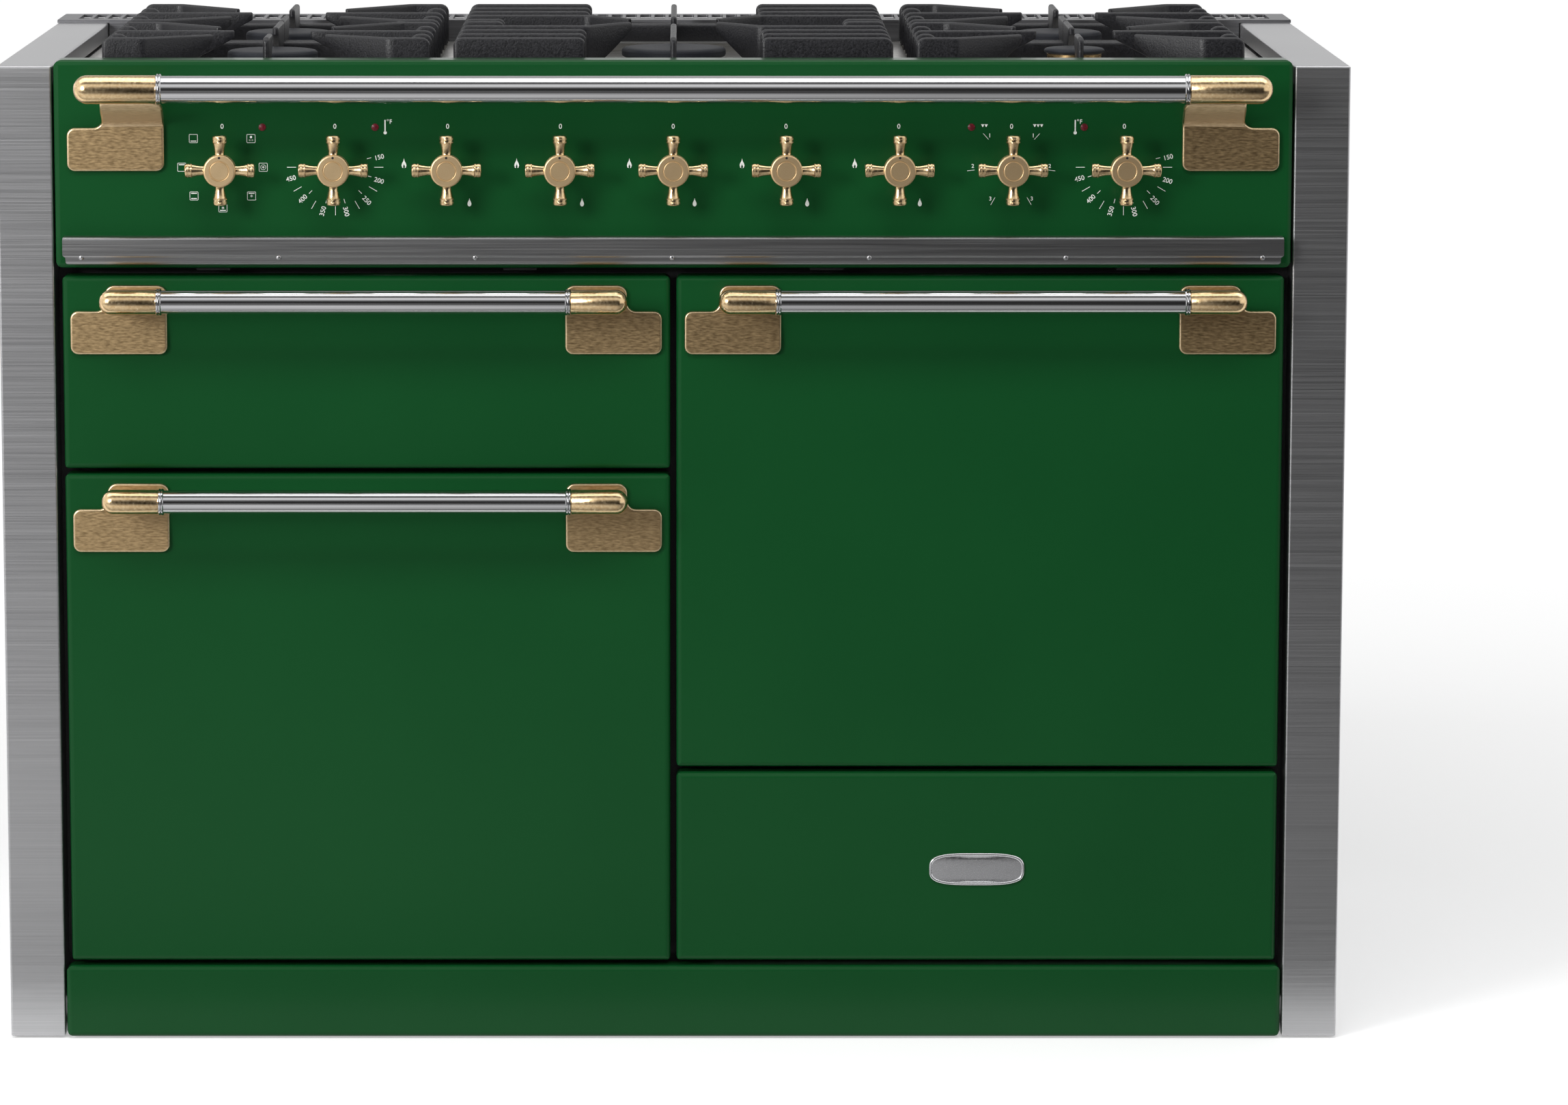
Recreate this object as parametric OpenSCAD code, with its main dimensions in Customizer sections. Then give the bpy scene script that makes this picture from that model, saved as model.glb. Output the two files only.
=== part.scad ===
// Range cooker, 1213 mm wide, with cast iron pan supports.
// Left column: glide-out broiler over an oven. Right column: an oven over a storage drawer.
// Origin: on the floor, under the middle of the whole depth. +X right, +Y to the back, +Z up.
// "Depth" below always means the distance behind the front faces of the side pillars.

/* [Overall] */
// Width over both side panels
overall_w = 1213; // [1110:1:1460]
// Depth of the body, from the pillar fronts to the back edge
body_d = 640; // [620:1:770]
// Height of the side panels
hob_h = 891; // [860:1:1070]

/* [Sheet metal] */
// Sheet thickness of the side panels, fronts and liners
sheet = 1.5; // [1:0.1:2]
// Width of each boxed side pillar
pillar_w = 50; // [40:1:60]
// Depth of each boxed side pillar
pillar_d = 60; // [50:1:80]
// Outside bend radius of the stainless sheet
bend_r = 2; // [1.6:0.1:3]
// Height of the side panels, plinth and skirts above the floor
floor_gap = 2; // [1:0.5:5]

/* [Fronts] */
// Height of the top edge of the plinth
plinth_h = 68.5; // [60:0.5:90]
// Height of the broiler front and of the drawer front
slim_h = 175; // [160:1:190]
// Gap between a pillar and a door
side_gap = 7; // [4:0.5:9]
// Gap between the left and the right column
column_gap = 5.5; // [4:0.5:9]
// Gap between a front and the next one under it
row_gap = 5; // [4:0.5:8]
// How far the fronts stand before the pillars
proud = 3; // [0:0.5:5]
// Depth of the folded edge of a front
front_d = 23; // [20:1:26]
// Radius of the enamelled edges
edge_r = 5; // [3:0.5:6]
// Depth of the inner panel of an oven door
door_liner_d = 17; // [14:1:20]
// Gap in which the door seal sits
seal_gap = 5; // [4:0.5:7]

/* [Control panel] */
// Height of the control panel
panel_h = 187; // [180:1:200]
// How far the control panel rises above the side panels
panel_rise = 5.5; // [3:0.5:8]
// Gap between the control panel and the fronts
panel_gap = 7; // [5:0.5:9]
// Height of the knob centres above the lower edge of the panel
knob_up = 91; // [80:1:110]
// Distance from the panel end to the first knob centre
knob_margin = 151; // [145:1:160]
// Height of the stainless nosing
nosing_h = 24.8; // [22:0.1:28]
// How far the nosing stands out
nosing_out = 15; // [10:0.5:20]
// Diameter of an indicator lamp
lamp_dia = 6.5; // [5:0.1:8]

/* [Knobs] */
// Diameter of the knob hub
hub_dia = 28.9; // [26:0.1:32]
// Width over two opposite arms
cross_w = 62.2; // [56:0.1:66]
// Distance from the panel to the front face of a knob
knob_out = 40; // [36:0.5:44]
// Diameter of a spindle
spindle_dia = 8; // [6:0.1:8]
// Distance that a gas knob is pushed in before it turns
tap_push = 4; // [2:0.5:4]

/* [Handles and rail] */
// Diameter of a door handle bar
bar_dia = 21; // [18:0.5:22]
// Distance from a door face to the bar centre
bar_out = 50; // [44:1:54]
// Distance from the top edge of a door down to the bar centre
bar_down = 18; // [16:0.5:20]
// Width of a handle plate
plate_w = 87; // [80:1:90]
// Height of a handle plate
plate_h = 38; // [34:0.5:40]
// Thickness of a handle plate
plate_t = 5; // [4:0.5:6]
// Width of the neck on a handle plate
neck_w = 55.6; // [50:0.2:60]
// Length of a brass end cap on a door handle
cap_l = 50.7; // [46:0.1:54]
// Diameter of the towel rail
rail_dia = 24.5; // [22:0.5:26]
// Distance from the pillar fronts to the rail centre
rail_out = 55; // [50:1:60]
// Height of the rail centre above the lower edge of the panel
rail_up = 164.8; // [160:0.1:168]
// Length of a brass end cap on the rail
rail_cap_l = 73.4; // [68:0.1:76]

/* [Hob] */
// Depth of the hob well below the side panels
tray_down = 18; // [16:0.5:24]
// Depth of the pressed wells in the tray
well_d = 8; // [6:0.5:10]
// Height of the pan supports above the side panels
support_up = 21; // [18:0.5:26]
// Width of the middle pan support
centre_support_w = 398; // [360:1:420]
// Gap between two pan supports
support_gap = 21; // [10:1:30]
// Gap between a pan support and the side wall of the hob
support_margin = 39.5; // [30:0.5:50]
// Thickness of a cast iron fin
fin_t = 5.5; // [5:0.1:7]
// Diameter of the caps of the ordinary burners
cap_dia = 83; // [70:1:90]
// Diameter of the small front burner cap
small_cap_dia = 56; // [50:1:60]
// Diameter of the middle burner cap
large_cap_dia = 98; // [90:1:120]
// Depth of the rear vent strip
vent_d = 88; // [70:1:100]

/* [Ovens] */
// Width of an oven cavity
cavity_w = 440; // [400:1:450]
// Depth of an oven cavity
cavity_d = 420; // [380:1:430]
// Distance from the lower edge of a door to the oven floor
cavity_up = 56; // [50:1:60]
// Distance from the oven roof to the top edge of a door
cavity_down = 43; // [40:1:60]
// Diameter of a convection fan
fan_dia = 150; // [120:1:160]
// Spacing of the shelf levels
level_pitch = 70; // [60:1:80]

/* [Broiler and drawer] */
// Inside width of the broiler chamber
broiler_w = 457; // [430:1:470]
// Travel of the glide-out broiler
broiler_travel = 350; // [300:1:360]
// Outside width of the drawer box
drawer_w = 480; // [440:1:482]
// Travel of the storage drawer
drawer_travel = 380; // [300:1:390]

/* [Fits] */
// Radial clearance of a spindle or a hinge pin
run_fit = 0.05; // [0.02:0.01:0.09]
// Gap between a runner and the rail inside it
slide_fit = 0.35; // [0.3:0.05:0.6]

/* [Hidden] */
$fn = 48;

// Colours
enamel = [0.07, 0.30, 0.16];
steel = [0.62, 0.62, 0.64];
dark_steel = [0.16, 0.16, 0.17];
iron = [0.13, 0.13, 0.15];
brass = [0.78, 0.62, 0.40];
chrome = [0.82, 0.82, 0.84];

// Room to cut right through a wall
eps = 1;

// Main planes
inner_w = overall_w - 2 * pillar_w;
rail_collar_dia = rail_dia + 3.5;
total_d = body_d + rail_out + rail_collar_dia / 2;
front_y = total_d / 2 - body_d;
skin = -proud;
frame_at = front_d - proud + door_liner_d + seal_gap;
frame_return = 20;
liner_at = frame_at + sheet;
back_at = body_d - 28;
vent_at = body_d - vent_d;

// Heights of the fronts
panel_z = hob_h + panel_rise - panel_h;
stack_z = plinth_h + row_gap;
stack_top = panel_z - panel_gap;
oven_door_h = stack_top - stack_z - slim_h - row_gap;
left_door_z = stack_z;
broiler_z = stack_z + oven_door_h + row_gap;
right_door_z = stack_z + slim_h + row_gap;
drawer_z = stack_z;

// Columns
door_w = (inner_w - 2 * side_gap - column_gap) / 2;
column_x = (door_w + column_gap) / 2;

// Control panel
panel_w = inner_w - 3;
panel_return = 30;
knob_z = panel_z + knob_up;
knob_pitch = (panel_w - 2 * knob_margin) / 8;
lamp_dx = 36;
lamp_dz = 36;
spindle_hole = spindle_dia + 4;
function knob_x(i) = (i - 5) * knob_pitch;
electric = [1, 2, 8, 9];
lamp_places = [knob_x(1) + lamp_dx, knob_x(2) + lamp_dx, knob_x(8) - lamp_dx, knob_x(9) - lamp_dx];

// Base
base_z = 30;
base_top = plinth_h + 1.5;
frame_top = stack_top + 4;
foot_r = 22;
foot_in = 24;

// Oven cavities
cavity_h = oven_door_h - cavity_up - cavity_down;
flange = 12;
hinge_depth = 10;
hinge_up = 20;
hinge_pin_dia = 8;
lug_w = 10;
ear_t = 4;
hinge_x = door_w / 2 - 83;
seal_w = 8;

// Hob
tray_z = hob_h - tray_down;
well_z = tray_z - well_d;
support_top = hob_h + support_up;
foot_h = 3;
support_z = tray_z + foot_h;
rail_top = tray_z + 20;
side_support_w = (inner_w - 2 * support_margin - 2 * support_gap - centre_support_w) / 2;
side_support_x = centre_support_w / 2 + support_gap + side_support_w / 2;
first_row = 65;
last_row = vent_at - 35;
burner_front = first_row + 90;
burner_back = last_row - 119;
middle_row = (burner_front + burner_back) / 2 + 6.5;
burner_middle = (first_row + last_row) / 2;
// Each burner: x, depth, cap diameter, height of the cap's top above the tray, cap thickness
burners = [
    [-side_support_x, burner_front, cap_dia, 21.5, 10],
    [-side_support_x, burner_back, cap_dia, 21.5, 10],
    [0, burner_middle, large_cap_dia, 14, 9],
    [side_support_x, burner_back, cap_dia, 21.5, 10],
    [side_support_x, burner_front, small_cap_dia, 23.5, 5]];

// ---------- shared forms ----------

// Moves a piece to a place given by x, depth and z
module at(x, depth, z) {
    translate([x, front_y + depth, z]) children();
}

// Rectangle with round corners, centred
module round_rect(w, h, r) {
    square([w - 2 * r, h], center = true);
    square([w, h - 2 * r], center = true);
    for (x = [-1, 1], y = [-1, 1]) {
        translate([x * (w / 2 - r), y * (h / 2 - r)]) circle(r);
    }
}

// Block centred on x, with its front face at y = 0 and rounded edges round that face
module soft_block(w, d, h, edge, corner) {
    intersection() {
        translate([0, d, h / 2]) rotate([90, 0, 0]) linear_extrude(d) round_rect(w, h, corner);
        translate([0, d, 0]) linear_extrude(h) round_rect(w, 2 * d, edge);
        translate([-w / 2, d, h / 2]) rotate([90, 0, 90]) linear_extrude(w) round_rect(2 * d, h, edge);
    }
}

// Folded tray of sheet, open at the back
module folded_tray(w, d, h, edge, corner) {
    difference() {
        soft_block(w, d, h, edge, corner);
        translate([0, sheet, sheet])
            soft_block(w - 2 * sheet, d, h - 2 * sheet, edge - sheet, corner - sheet);
    }
}

// Front with a closed back, hollow inside
module closed_front(w, d, h, edge, corner) {
    difference() {
        soft_block(w, d, h, edge, corner);
        translate([0, sheet, sheet])
            soft_block(w - 2 * sheet, d - 2 * sheet, h - 2 * sheet, edge - sheet, corner - sheet);
    }
}

// Box given by its lowest corner's x, depth and z
module slab(x, depth, z, w, d, h) {
    at(x, depth, z) cube([w, d, h]);
}

// Round bar along X, centred on x
module bar_x(x, depth, z, l, r) {
    at(x, depth, z) rotate([0, 90, 0]) cylinder(h = l, r = r, center = true);
}

// Round bar along Y, from one depth to another
module bar_y(x, from, to, z, r) {
    at(x, from, z) rotate([-90, 0, 0]) cylinder(h = to - from, r = r);
}

// Repeats a piece in the left and the right half
module both_sides() {
    children();
    mirror([1, 0, 0]) children();
}

// ---------- carcass ----------

module side_panel() {
    h = hob_h - floor_gap;
    lip = tray_down - 2.5;
    ledge_out = 10;
    color(steel) translate([-overall_w / 2, 0, 0]) {
        difference() {
            at(pillar_w / 2, 0, floor_gap) soft_block(pillar_w, body_d, h, bend_r, bend_r);
            // Inside of the boxed pillar, open to the floor
            slab(sheet, sheet, floor_gap - eps,
                pillar_w - 2 * sheet, pillar_d - 2 * sheet, h + eps - sheet);
            // Room behind the pillar, open to the ovens and to the back
            slab(sheet, pillar_d, floor_gap + sheet,
                pillar_w, body_d, h - sheet - lip);
            // Top channel, and the opening under the vent strip
            slab(sheet, pillar_d, hob_h - lip - eps,
                pillar_w - 2 * sheet, body_d, lip + eps - sheet);
            slab(sheet, vent_at + 8, hob_h - lip - eps, pillar_w, body_d, lip + 2 * eps);
        }
        // Ledge that carries the hob tray
        slab(sheet / 2, pillar_d - sheet / 2, tray_z - 4, pillar_w + ledge_out, vent_at - pillar_d, 2);
    }
}

module left_side_panel() {
    side_panel();
}

module right_side_panel() {
    mirror([1, 0, 0]) side_panel();
}

module back_panel() {
    w = overall_w - 2 * sheet;
    h = hob_h - base_z;
    slot_l = 60;
    slot_pitch = 12;
    slots = 14;
    slots_up = 60;
    slots_down = 120;
    box_w = 90;
    box_h = 70;
    box_d = 24;
    box_x = -overall_w / 2 + 130;
    box_up = 180;
    gland_l = 18;
    gland_r = 10;
    cord_hole_r = 7;
    color([0.66, 0.67, 0.68]) {
        at(0, back_at + sheet, base_z) rotate([90, 0, 0]) linear_extrude(sheet) difference() {
            translate([-w / 2, 0]) square([w, h]);
            for (x = [-1, 1], i = [0:slots - 1]) {
                translate([x * column_x, h - slots_down - i * slot_pitch]) round_rect(slot_l, 5, 2);
                translate([x * column_x, slots_up + i * slot_pitch]) round_rect(slot_l, 5, 2);
            }
            translate([gas_x, gas_z - base_z]) circle(supply_r + 2);
        }
        // Terminal box with its cord gland; no cord is shown, so none is fitted
        difference() {
            slab(box_x - box_w / 2, back_at + sheet, base_z + box_up, box_w, box_d, box_h);
            slab(box_x - box_w / 2 + sheet, back_at + sheet - eps, base_z + box_up + sheet,
                box_w - 2 * sheet, box_d + eps - sheet, box_h - 2 * sheet);
            at(box_x, back_at + sheet + box_d / 2, base_z + box_up - eps)
                cylinder(h = sheet + 2 * eps, r = cord_hole_r + 1);
        }
        at(box_x, back_at + sheet + box_d / 2, base_z + box_up - gland_l) difference() {
            cylinder(h = gland_l, r = gland_r);
            translate([0, 0, -eps]) cylinder(h = gland_l + 2 * eps, r = cord_hole_r);
        }
    }
}

module base_frame() {
    w = inner_w;
    d = back_at - frame_at;
    h = base_top - base_z;
    rim = 36;
    wall = 2;
    tab_w = 40;
    guide_h = 100;
    color(dark_steel) {
        // Ring of folded channel, open underneath
        difference() {
            slab(-w / 2, frame_at, base_z, w, d, h);
            slab(-w / 2 + rim, frame_at + rim, base_z - eps, w - 2 * rim, d - 2 * rim, h + 2 * eps);
            difference() {
                slab(-w / 2 + wall, frame_at + wall, base_z - eps,
                    w - 2 * wall, d - 2 * wall, h + eps - wall);
                slab(-w / 2 + rim - wall, frame_at + rim - wall, base_z - 2 * eps,
                    w - 2 * (rim - wall), d - 2 * (rim - wall), h + 3 * eps);
            }
        }
        // Middle bearer
        slab(-rim / 2, frame_at + rim - wall, base_top - wall, rim, d - 2 * (rim - wall), wall);
        // Tabs that hold the plinth
        both_sides() slab(w / 4, skin + sheet, base_z, tab_w, frame_at - skin - sheet, wall);
        // Drawer guides: two uprights with a channel each
        translate([column_x, 0, 0]) both_sides() drawer_guide(guide_h);
        // Levelling feet
        for (x = [-1, 1], depth = [frame_at + foot_in, back_at - foot_in]) {
            at(x * (w / 2 - foot_in), depth, 0) levelling_foot();
        }
    }
}

module levelling_foot() {
    pad_h = 8;
    stem_r = 6;
    rotate_extrude() polygon([
        [0, 0], [foot_r - 2, 0], [foot_r, 2], [foot_r, 4], [stem_r + 6, pad_h], [0, pad_h]]);
    cylinder(h = base_top - 1, r = stem_r);
    translate([0, 0, base_z]) cylinder(h = 8, r = 11, $fn = 6);
}

// Cross-section sizes of a runner, measured inwards from the channel's web
channel_t = 2;
channel_in = 11;
rail_half = 11.3;
drawer_rail_z = 60;
drawer_rail_w = 7.6;

// Channel open to one side, with its web's outer face at x and its mouth towards the middle
module channel(x, from, l, z, half, depth_in) {
    difference() {
        slab(x - depth_in, from, z - half - channel_t, depth_in, l, 2 * (half + channel_t));
        slab(x - depth_in - eps, from - eps, z - half, depth_in + eps - channel_t, l + 2 * eps, 2 * half);
    }
}

module drawer_guide(h) {
    web_x = drawer_w / 2 + drawer_rail_w + slide_fit + channel_t;
    guide_l = drawer_travel + 80;
    from = frame_at + frame_return;
    channel(web_x, liner_at + 2, guide_l, drawer_z + drawer_rail_z, rail_half + slide_fit, channel_in - 2);
    slab(web_x, from, base_top - 0.5, channel_t, guide_l - (from - liner_at - 2), h + 0.5);
}

module plinth() {
    color(enamel) at(0, skin, floor_gap)
        folded_tray(panel_w, 20, plinth_h - floor_gap, edge_r, 7);
}

broiler_floor = 14;
broiler_roof = 10;
drawer_low = 6;
drawer_side = 10.5;
weld_gap = 0.02;

// Strip of the facia frame between two widths and two heights, short of each by half a weld gap
module strip(x0, x1, z0, z1) {
    slab(x0 + weld_gap / 2, frame_at, z0 + weld_gap / 2, x1 - x0 - weld_gap, sheet, z1 - z0 - weld_gap);
}

// Length of an outer stile with its folded return, on one side of the facia frame
module stile(side, inner, z0, z1) {
    face_w = inner_w / 2 - inner - weld_gap / 2;
    z = z0 + weld_gap / 2;
    h = z1 - z0 - weld_gap;
    slab(side * (inner_w / 2 - face_w / 2) - face_w / 2, frame_at, z, face_w, sheet, h);
    slab(side * (inner_w / 2 - sheet / 2) - sheet / 2, frame_at, z, sheet, frame_return, h);
}

// Facia frame, butt-welded from folded and flat strips around the four openings
module front_frame() {
    oven_in = column_x - cavity_w / 2;
    oven_out = column_x + cavity_w / 2;
    broiler_in = column_x - broiler_w / 2;
    broiler_out = column_x + broiler_w / 2;
    drawer_in = column_x - drawer_w / 2 - drawer_side;
    drawer_out = column_x + drawer_w / 2 + drawer_side;
    left_floor = left_door_z + cavity_up;
    right_floor = right_door_z + cavity_up;
    low = drawer_z + drawer_low;
    drawer_top = drawer_z + slim_h - drawer_low;
    shelf_z = broiler_z + broiler_floor;
    high = stack_top - broiler_roof;
    color(dark_steel) {
        // Top rail, with tabs that carry the control panel
        slab(-inner_w / 2, frame_at, high, inner_w, sheet, frame_top - high);
        slab(-inner_w / 2, frame_at, frame_top - sheet, inner_w, frame_return, sheet);
        for (x = [-1.5, -0.5, 0.5, 1.5]) {
            slab(x * column_x - 15, hinge_depth, frame_top,
                30, frame_at + frame_return - hinge_depth, panel_z - frame_top);
        }
        // Bottom rail
        slab(-inner_w / 2, frame_at, base_top, inner_w, sheet, low - base_top);
        slab(-inner_w / 2, frame_at, base_top, inner_w, frame_return, sheet);
        // Outer stiles, each in two lengths
        stile(-1, oven_out, low, shelf_z);
        stile(-1, broiler_out, shelf_z, high);
        stile(1, drawer_out, low, right_floor);
        stile(1, oven_out, right_floor, high);
        // Middle stile in three lengths
        strip(-oven_in, drawer_in, low, right_floor);
        strip(-oven_in, oven_in, right_floor, shelf_z);
        strip(-broiler_in, oven_in, shelf_z, high);
        // Sill and head of each oven, and the hinge lugs of the two drop-down doors
        strip(-oven_out, -oven_in, low, left_floor);
        hinge_lugs(-column_x, left_door_z);
        strip(-oven_out, -oven_in, left_floor + cavity_h, shelf_z);
        strip(drawer_in, drawer_out, drawer_top, right_floor);
        hinge_lugs(column_x, right_door_z);
        strip(oven_in, oven_out, right_floor + cavity_h, high);
    }
}

module hinge_lugs(x, z) {
    r = 7;
    for (side = [-1, 1]) {
        at(x + side * hinge_x - lug_w / 2, hinge_depth, z + hinge_up)
            rotate([90, 0, 90]) linear_extrude(lug_w) difference() {
                union() {
                    circle(r);
                    translate([0, -r]) square([frame_at - hinge_depth, 2 * r]);
                }
                circle(hinge_pin_dia / 2 + run_fit);
            }
    }
}

// ---------- control panel ----------

module control_panel() {
    color(enamel) difference() {
        at(0, skin, panel_z) folded_tray(panel_w, panel_return, panel_h, edge_r, 8);
        for (i = [1:9]) {
            bar_y(knob_x(i), skin - eps, skin + sheet + eps, knob_z, spindle_hole / 2);
        }
        for (x = lamp_places) {
            bar_y(x, skin - eps, skin + sheet + eps, knob_z + lamp_dz, lamp_dia / 2);
        }
    }
}

module panel_trim() {
    w = panel_w - 15.6;
    fold = 5.6;
    lip_in = 4;
    t = 1.2;
    // Side view: a flange on the panel, a quarter round outwards, folded back under to a narrow lip
    color(steel) at(-w / 2, skin, panel_z + 4.5) rotate([90, 0, 90]) linear_extrude(w) {
        translate([-t, fold]) square([t, nosing_h - fold]);
        translate([0, fold]) difference() {
            quarter_disc(nosing_out, 0);
            quarter_disc(nosing_out - t, t);
        }
        translate([-lip_in, 0]) square([t, fold + t / 2]);
    }
}

// Quarter of a disc to the left of and above the origin, cut off below a height
module quarter_disc(r, low) {
    intersection() {
        circle(r = r, $fn = 96);
        translate([-r, low]) square([r, r]);
    }
}

module indicator_lamps() {
    color([0.55, 0.05, 0.04]) for (x = lamp_places) {
        at(x, skin, knob_z + lamp_dz) rotate([90, 0, 0]) {
            intersection() {
                translate([0, 0, 1.6 - lamp_dia]) sphere(r = lamp_dia);
                cylinder(h = 5, r = lamp_dia / 2);
            }
            translate([0, 0, -18]) cylinder(h = 18, r = lamp_dia / 2 - 0.1);
        }
    }
}

// ---------- knobs, taps and controls ----------

knob_gap = tap_push + 1;
hub_t = 14;
bore_l = 17;
arm_r1 = 5.1;
arm_r2 = 6;
tip_l = 6.2;

// Crosshead knob with its axis along Z and its front face up
module knob_form() {
    hub_r = hub_dia / 2;
    hub_z = knob_out - hub_t;
    arm_z = knob_out - 8;
    tip_r = cross_w / 2 - tip_l;
    difference() {
        union() {
            rotate_extrude() polygon([
                [0, knob_gap], [7, knob_gap], [8, knob_gap + 1.5], [7, knob_gap + 8], [8, hub_z - 3],
                [hub_r - 3, hub_z], [hub_r - 0.8, hub_z + 1], [hub_r, hub_z + 3],
                [hub_r, knob_out - 3], [hub_r - 0.9, knob_out - 1], [hub_r - 2.4, knob_out], [0, knob_out]]);
            for (a = [0:90:270]) {
                rotate(a) translate([0, 0, arm_z]) rotate([0, 90, 0]) {
                    translate([0, 0, 8]) cylinder(h = tip_r - 8, r1 = arm_r1, r2 = arm_r2);
                    translate([0, 0, tip_r]) cylinder(h = tip_l - 1, r = arm_r2 + 0.15);
                    translate([0, 0, tip_r + tip_l - 1]) cylinder(h = 1, r1 = arm_r2 + 0.15, r2 = arm_r2 - 0.85);
                }
            }
        }
        // Groove round the middle boss, pointer dot and spindle bore
        translate([0, 0, knob_out - 0.8]) difference() {
            cylinder(h = 2, r = 8.6);
            translate([0, 0, -eps]) cylinder(h = 4, r = 7.9);
        }
        translate([0, 11.3, knob_out - 0.6]) cylinder(h = 2, r = 1.1);
    }
}

module knob(i) {
    own_spindle = len(search(i, electric)) > 0;
    color(brass) at(knob_x(i), skin, knob_z) rotate([90, 0, 0]) {
        if (own_spindle) {
            knob_form();
            translate([0, 0, skin - control_back + 6]) cylinder(h = control_back + knob_gap, r = spindle_dia / 2);
        } else {
            difference() {
                knob_form();
                translate([0, 0, knob_gap - eps]) cylinder(h = bore_l + eps, r = spindle_dia / 2 + run_fit);
            }
        }
    }
}

tap_front = 20;
tap_back = 78;
control_front = 12;
control_back = 46;

module tap_spindle(i) {
    color(chrome) bar_y(knob_x(i), skin - knob_gap - bore_l + 1, tap_back - 12, knob_z, spindle_dia / 2);
}

module gas_manifold() {
    pipe_r = 11;
    pipe_z = knob_z - 32;
    pipe_depth = 58;
    pipe_end = knob_x(7) + 60;
    color(brass) {
        difference() {
            union() {
                // Taps
                for (i = [3:7]) {
                    bar_y(knob_x(i), tap_front, tap_front + 14, knob_z, 9);
                    slab(knob_x(i) - 14, tap_front + 12, knob_z - 22, 28, tap_back - tap_front - 12, 38);
                }
                // Manifold pipe
                bar_x((pipe_end + knob_x(3) - 30) / 2, pipe_depth, pipe_z, pipe_end - knob_x(3) + 30, pipe_r);
                // Brackets down to the facia frame
                for (i = [3, 7]) {
                    slab(knob_x(i) + 30, frame_at, frame_top, 3, frame_return, pipe_z - frame_top);
                }
                feed_pipes();
                supply_pipe(pipe_end, pipe_depth, pipe_z);
            }
            for (i = [3:7]) {
                bar_y(knob_x(i), tap_front - eps, tap_back - 4, knob_z, spindle_dia / 2 + run_fit);
            }
        }
    }
}

// Pipe through a list of places, each [x, depth, z], joined by round elbows
module pipe_run(places, r) {
    for (i = [0:len(places) - 2]) {
        a = places[i];
        b = places[i + 1];
        step = b - a;
        l = norm(step);
        at(a[0], a[1], a[2])
            rotate([0, acos(step[2] / l), atan2(step[1], step[0])]) cylinder(h = l, r = r);
        if (i > 0) at(a[0], a[1], a[2]) sphere(r = r + 0.15);
    }
}

feed_z = tray_z - 38;
feed_r = 4;
under_burner = tray_z - 24;

module feed_pipes() {
    out_z = knob_z + 8;
    lane = [0, 0, 0, 104, 124, 0, 124, 104];
    // Outer taps feed the front burners, the next ones the back burners, the middle one the middle burner
    for (i = [3, 7]) {
        bx = sign(i - 5) * side_support_x;
        pipe_run([[knob_x(i), tap_back - eps, out_z], [knob_x(i), lane[i], out_z], [knob_x(i), lane[i], feed_z],
            [bx, lane[i], feed_z], [bx, burner_front, feed_z], [bx, burner_front, under_burner]], feed_r);
    }
    for (i = [4, 6]) {
        bx = sign(i - 5) * side_support_x;
        turn = bx - sign(bx) * 60;
        pipe_run([[knob_x(i), tap_back - eps, out_z], [knob_x(i), lane[i], out_z], [knob_x(i), lane[i], feed_z],
            [turn, lane[i], feed_z], [turn, burner_back, feed_z], [bx, burner_back, feed_z],
            [bx, burner_back, under_burner]], feed_r);
    }
    pipe_run([[knob_x(5), tap_back - eps, out_z], [0, lane[3], out_z], [0, lane[3], feed_z],
        [0, burner_middle, feed_z], [0, burner_middle, under_burner]], feed_r);
}

// Half inch gas inlet thread, drawn plain at its outside diameter
gas_r = 10.48;
gas_x = overall_w / 2 - 90;
gas_z = hob_h - 251;
gas_l = 24;
supply_r = 7;

module supply_pipe(x0, depth0, z0) {
    pipe_run([[x0 - 2, depth0, z0], [gas_x, depth0, z0], [gas_x, back_at - 40, z0],
        [gas_x, back_at - 40, gas_z], [gas_x, body_d - gas_l + 1, gas_z]], supply_r);
    bar_y(gas_x, body_d - gas_l, body_d, gas_z, gas_r);
}

module oven_controls() {
    color([0.80, 0.78, 0.72]) for (i = electric) {
        difference() {
            union() {
                bar_y(knob_x(i), skin + sheet, control_front, knob_z, 11);
                at(knob_x(i), control_front, knob_z) rotate([-90, 0, 0])
                    linear_extrude(control_back - control_front) round_rect(46, 46, 4);
            }
            bar_y(knob_x(i), skin - eps, control_front + eps, knob_z, spindle_dia / 2 + run_fit);
            bar_y(knob_x(i), control_front, control_back - 3, knob_z, spindle_dia / 2 + 3);
        }
    }
}

// ---------- hob ----------

module hob_tray() {
    w = inner_w - 2;
    d = vent_at - panel_return + proud - 1;
    front = panel_return - proud + 0.5;
    t = 2;
    rim = 24;
    strip = support_gap - 7;
    wells = [[-side_support_x, side_support_w + 2 * 8], [0, centre_support_w - 8], [side_support_x, side_support_w + 2 * 8]];
    color(steel) difference() {
        union() {
            slab(-w / 2, front, tray_z - t, w, d, t);
            for (well = wells) {
                well_block(well[0], well[1] - strip, well_z - t, well_d + t - eps, 26);
            }
            // Front upstand behind the control panel
            slab(-w / 2, front, tray_z - t, w, t, hob_h - tray_z);
        }
        for (well = wells) {
            well_block(well[0], well[1] - strip - 2 * t, well_z, well_d + t + eps, 26 - t);
        }
        for (b = burners) {
            at(b[0], b[1], well_z - 2 * t) cylinder(h = 3 * t, r = b[2] / 2 - 12);
        }
    }
}

module well_block(x, w, z, h, r) {
    d = last_row - first_row + 20 - (26 - r) * 2;
    at(x, (first_row + last_row) / 2, z) linear_extrude(h) round_rect(w, d, r);
}

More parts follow.
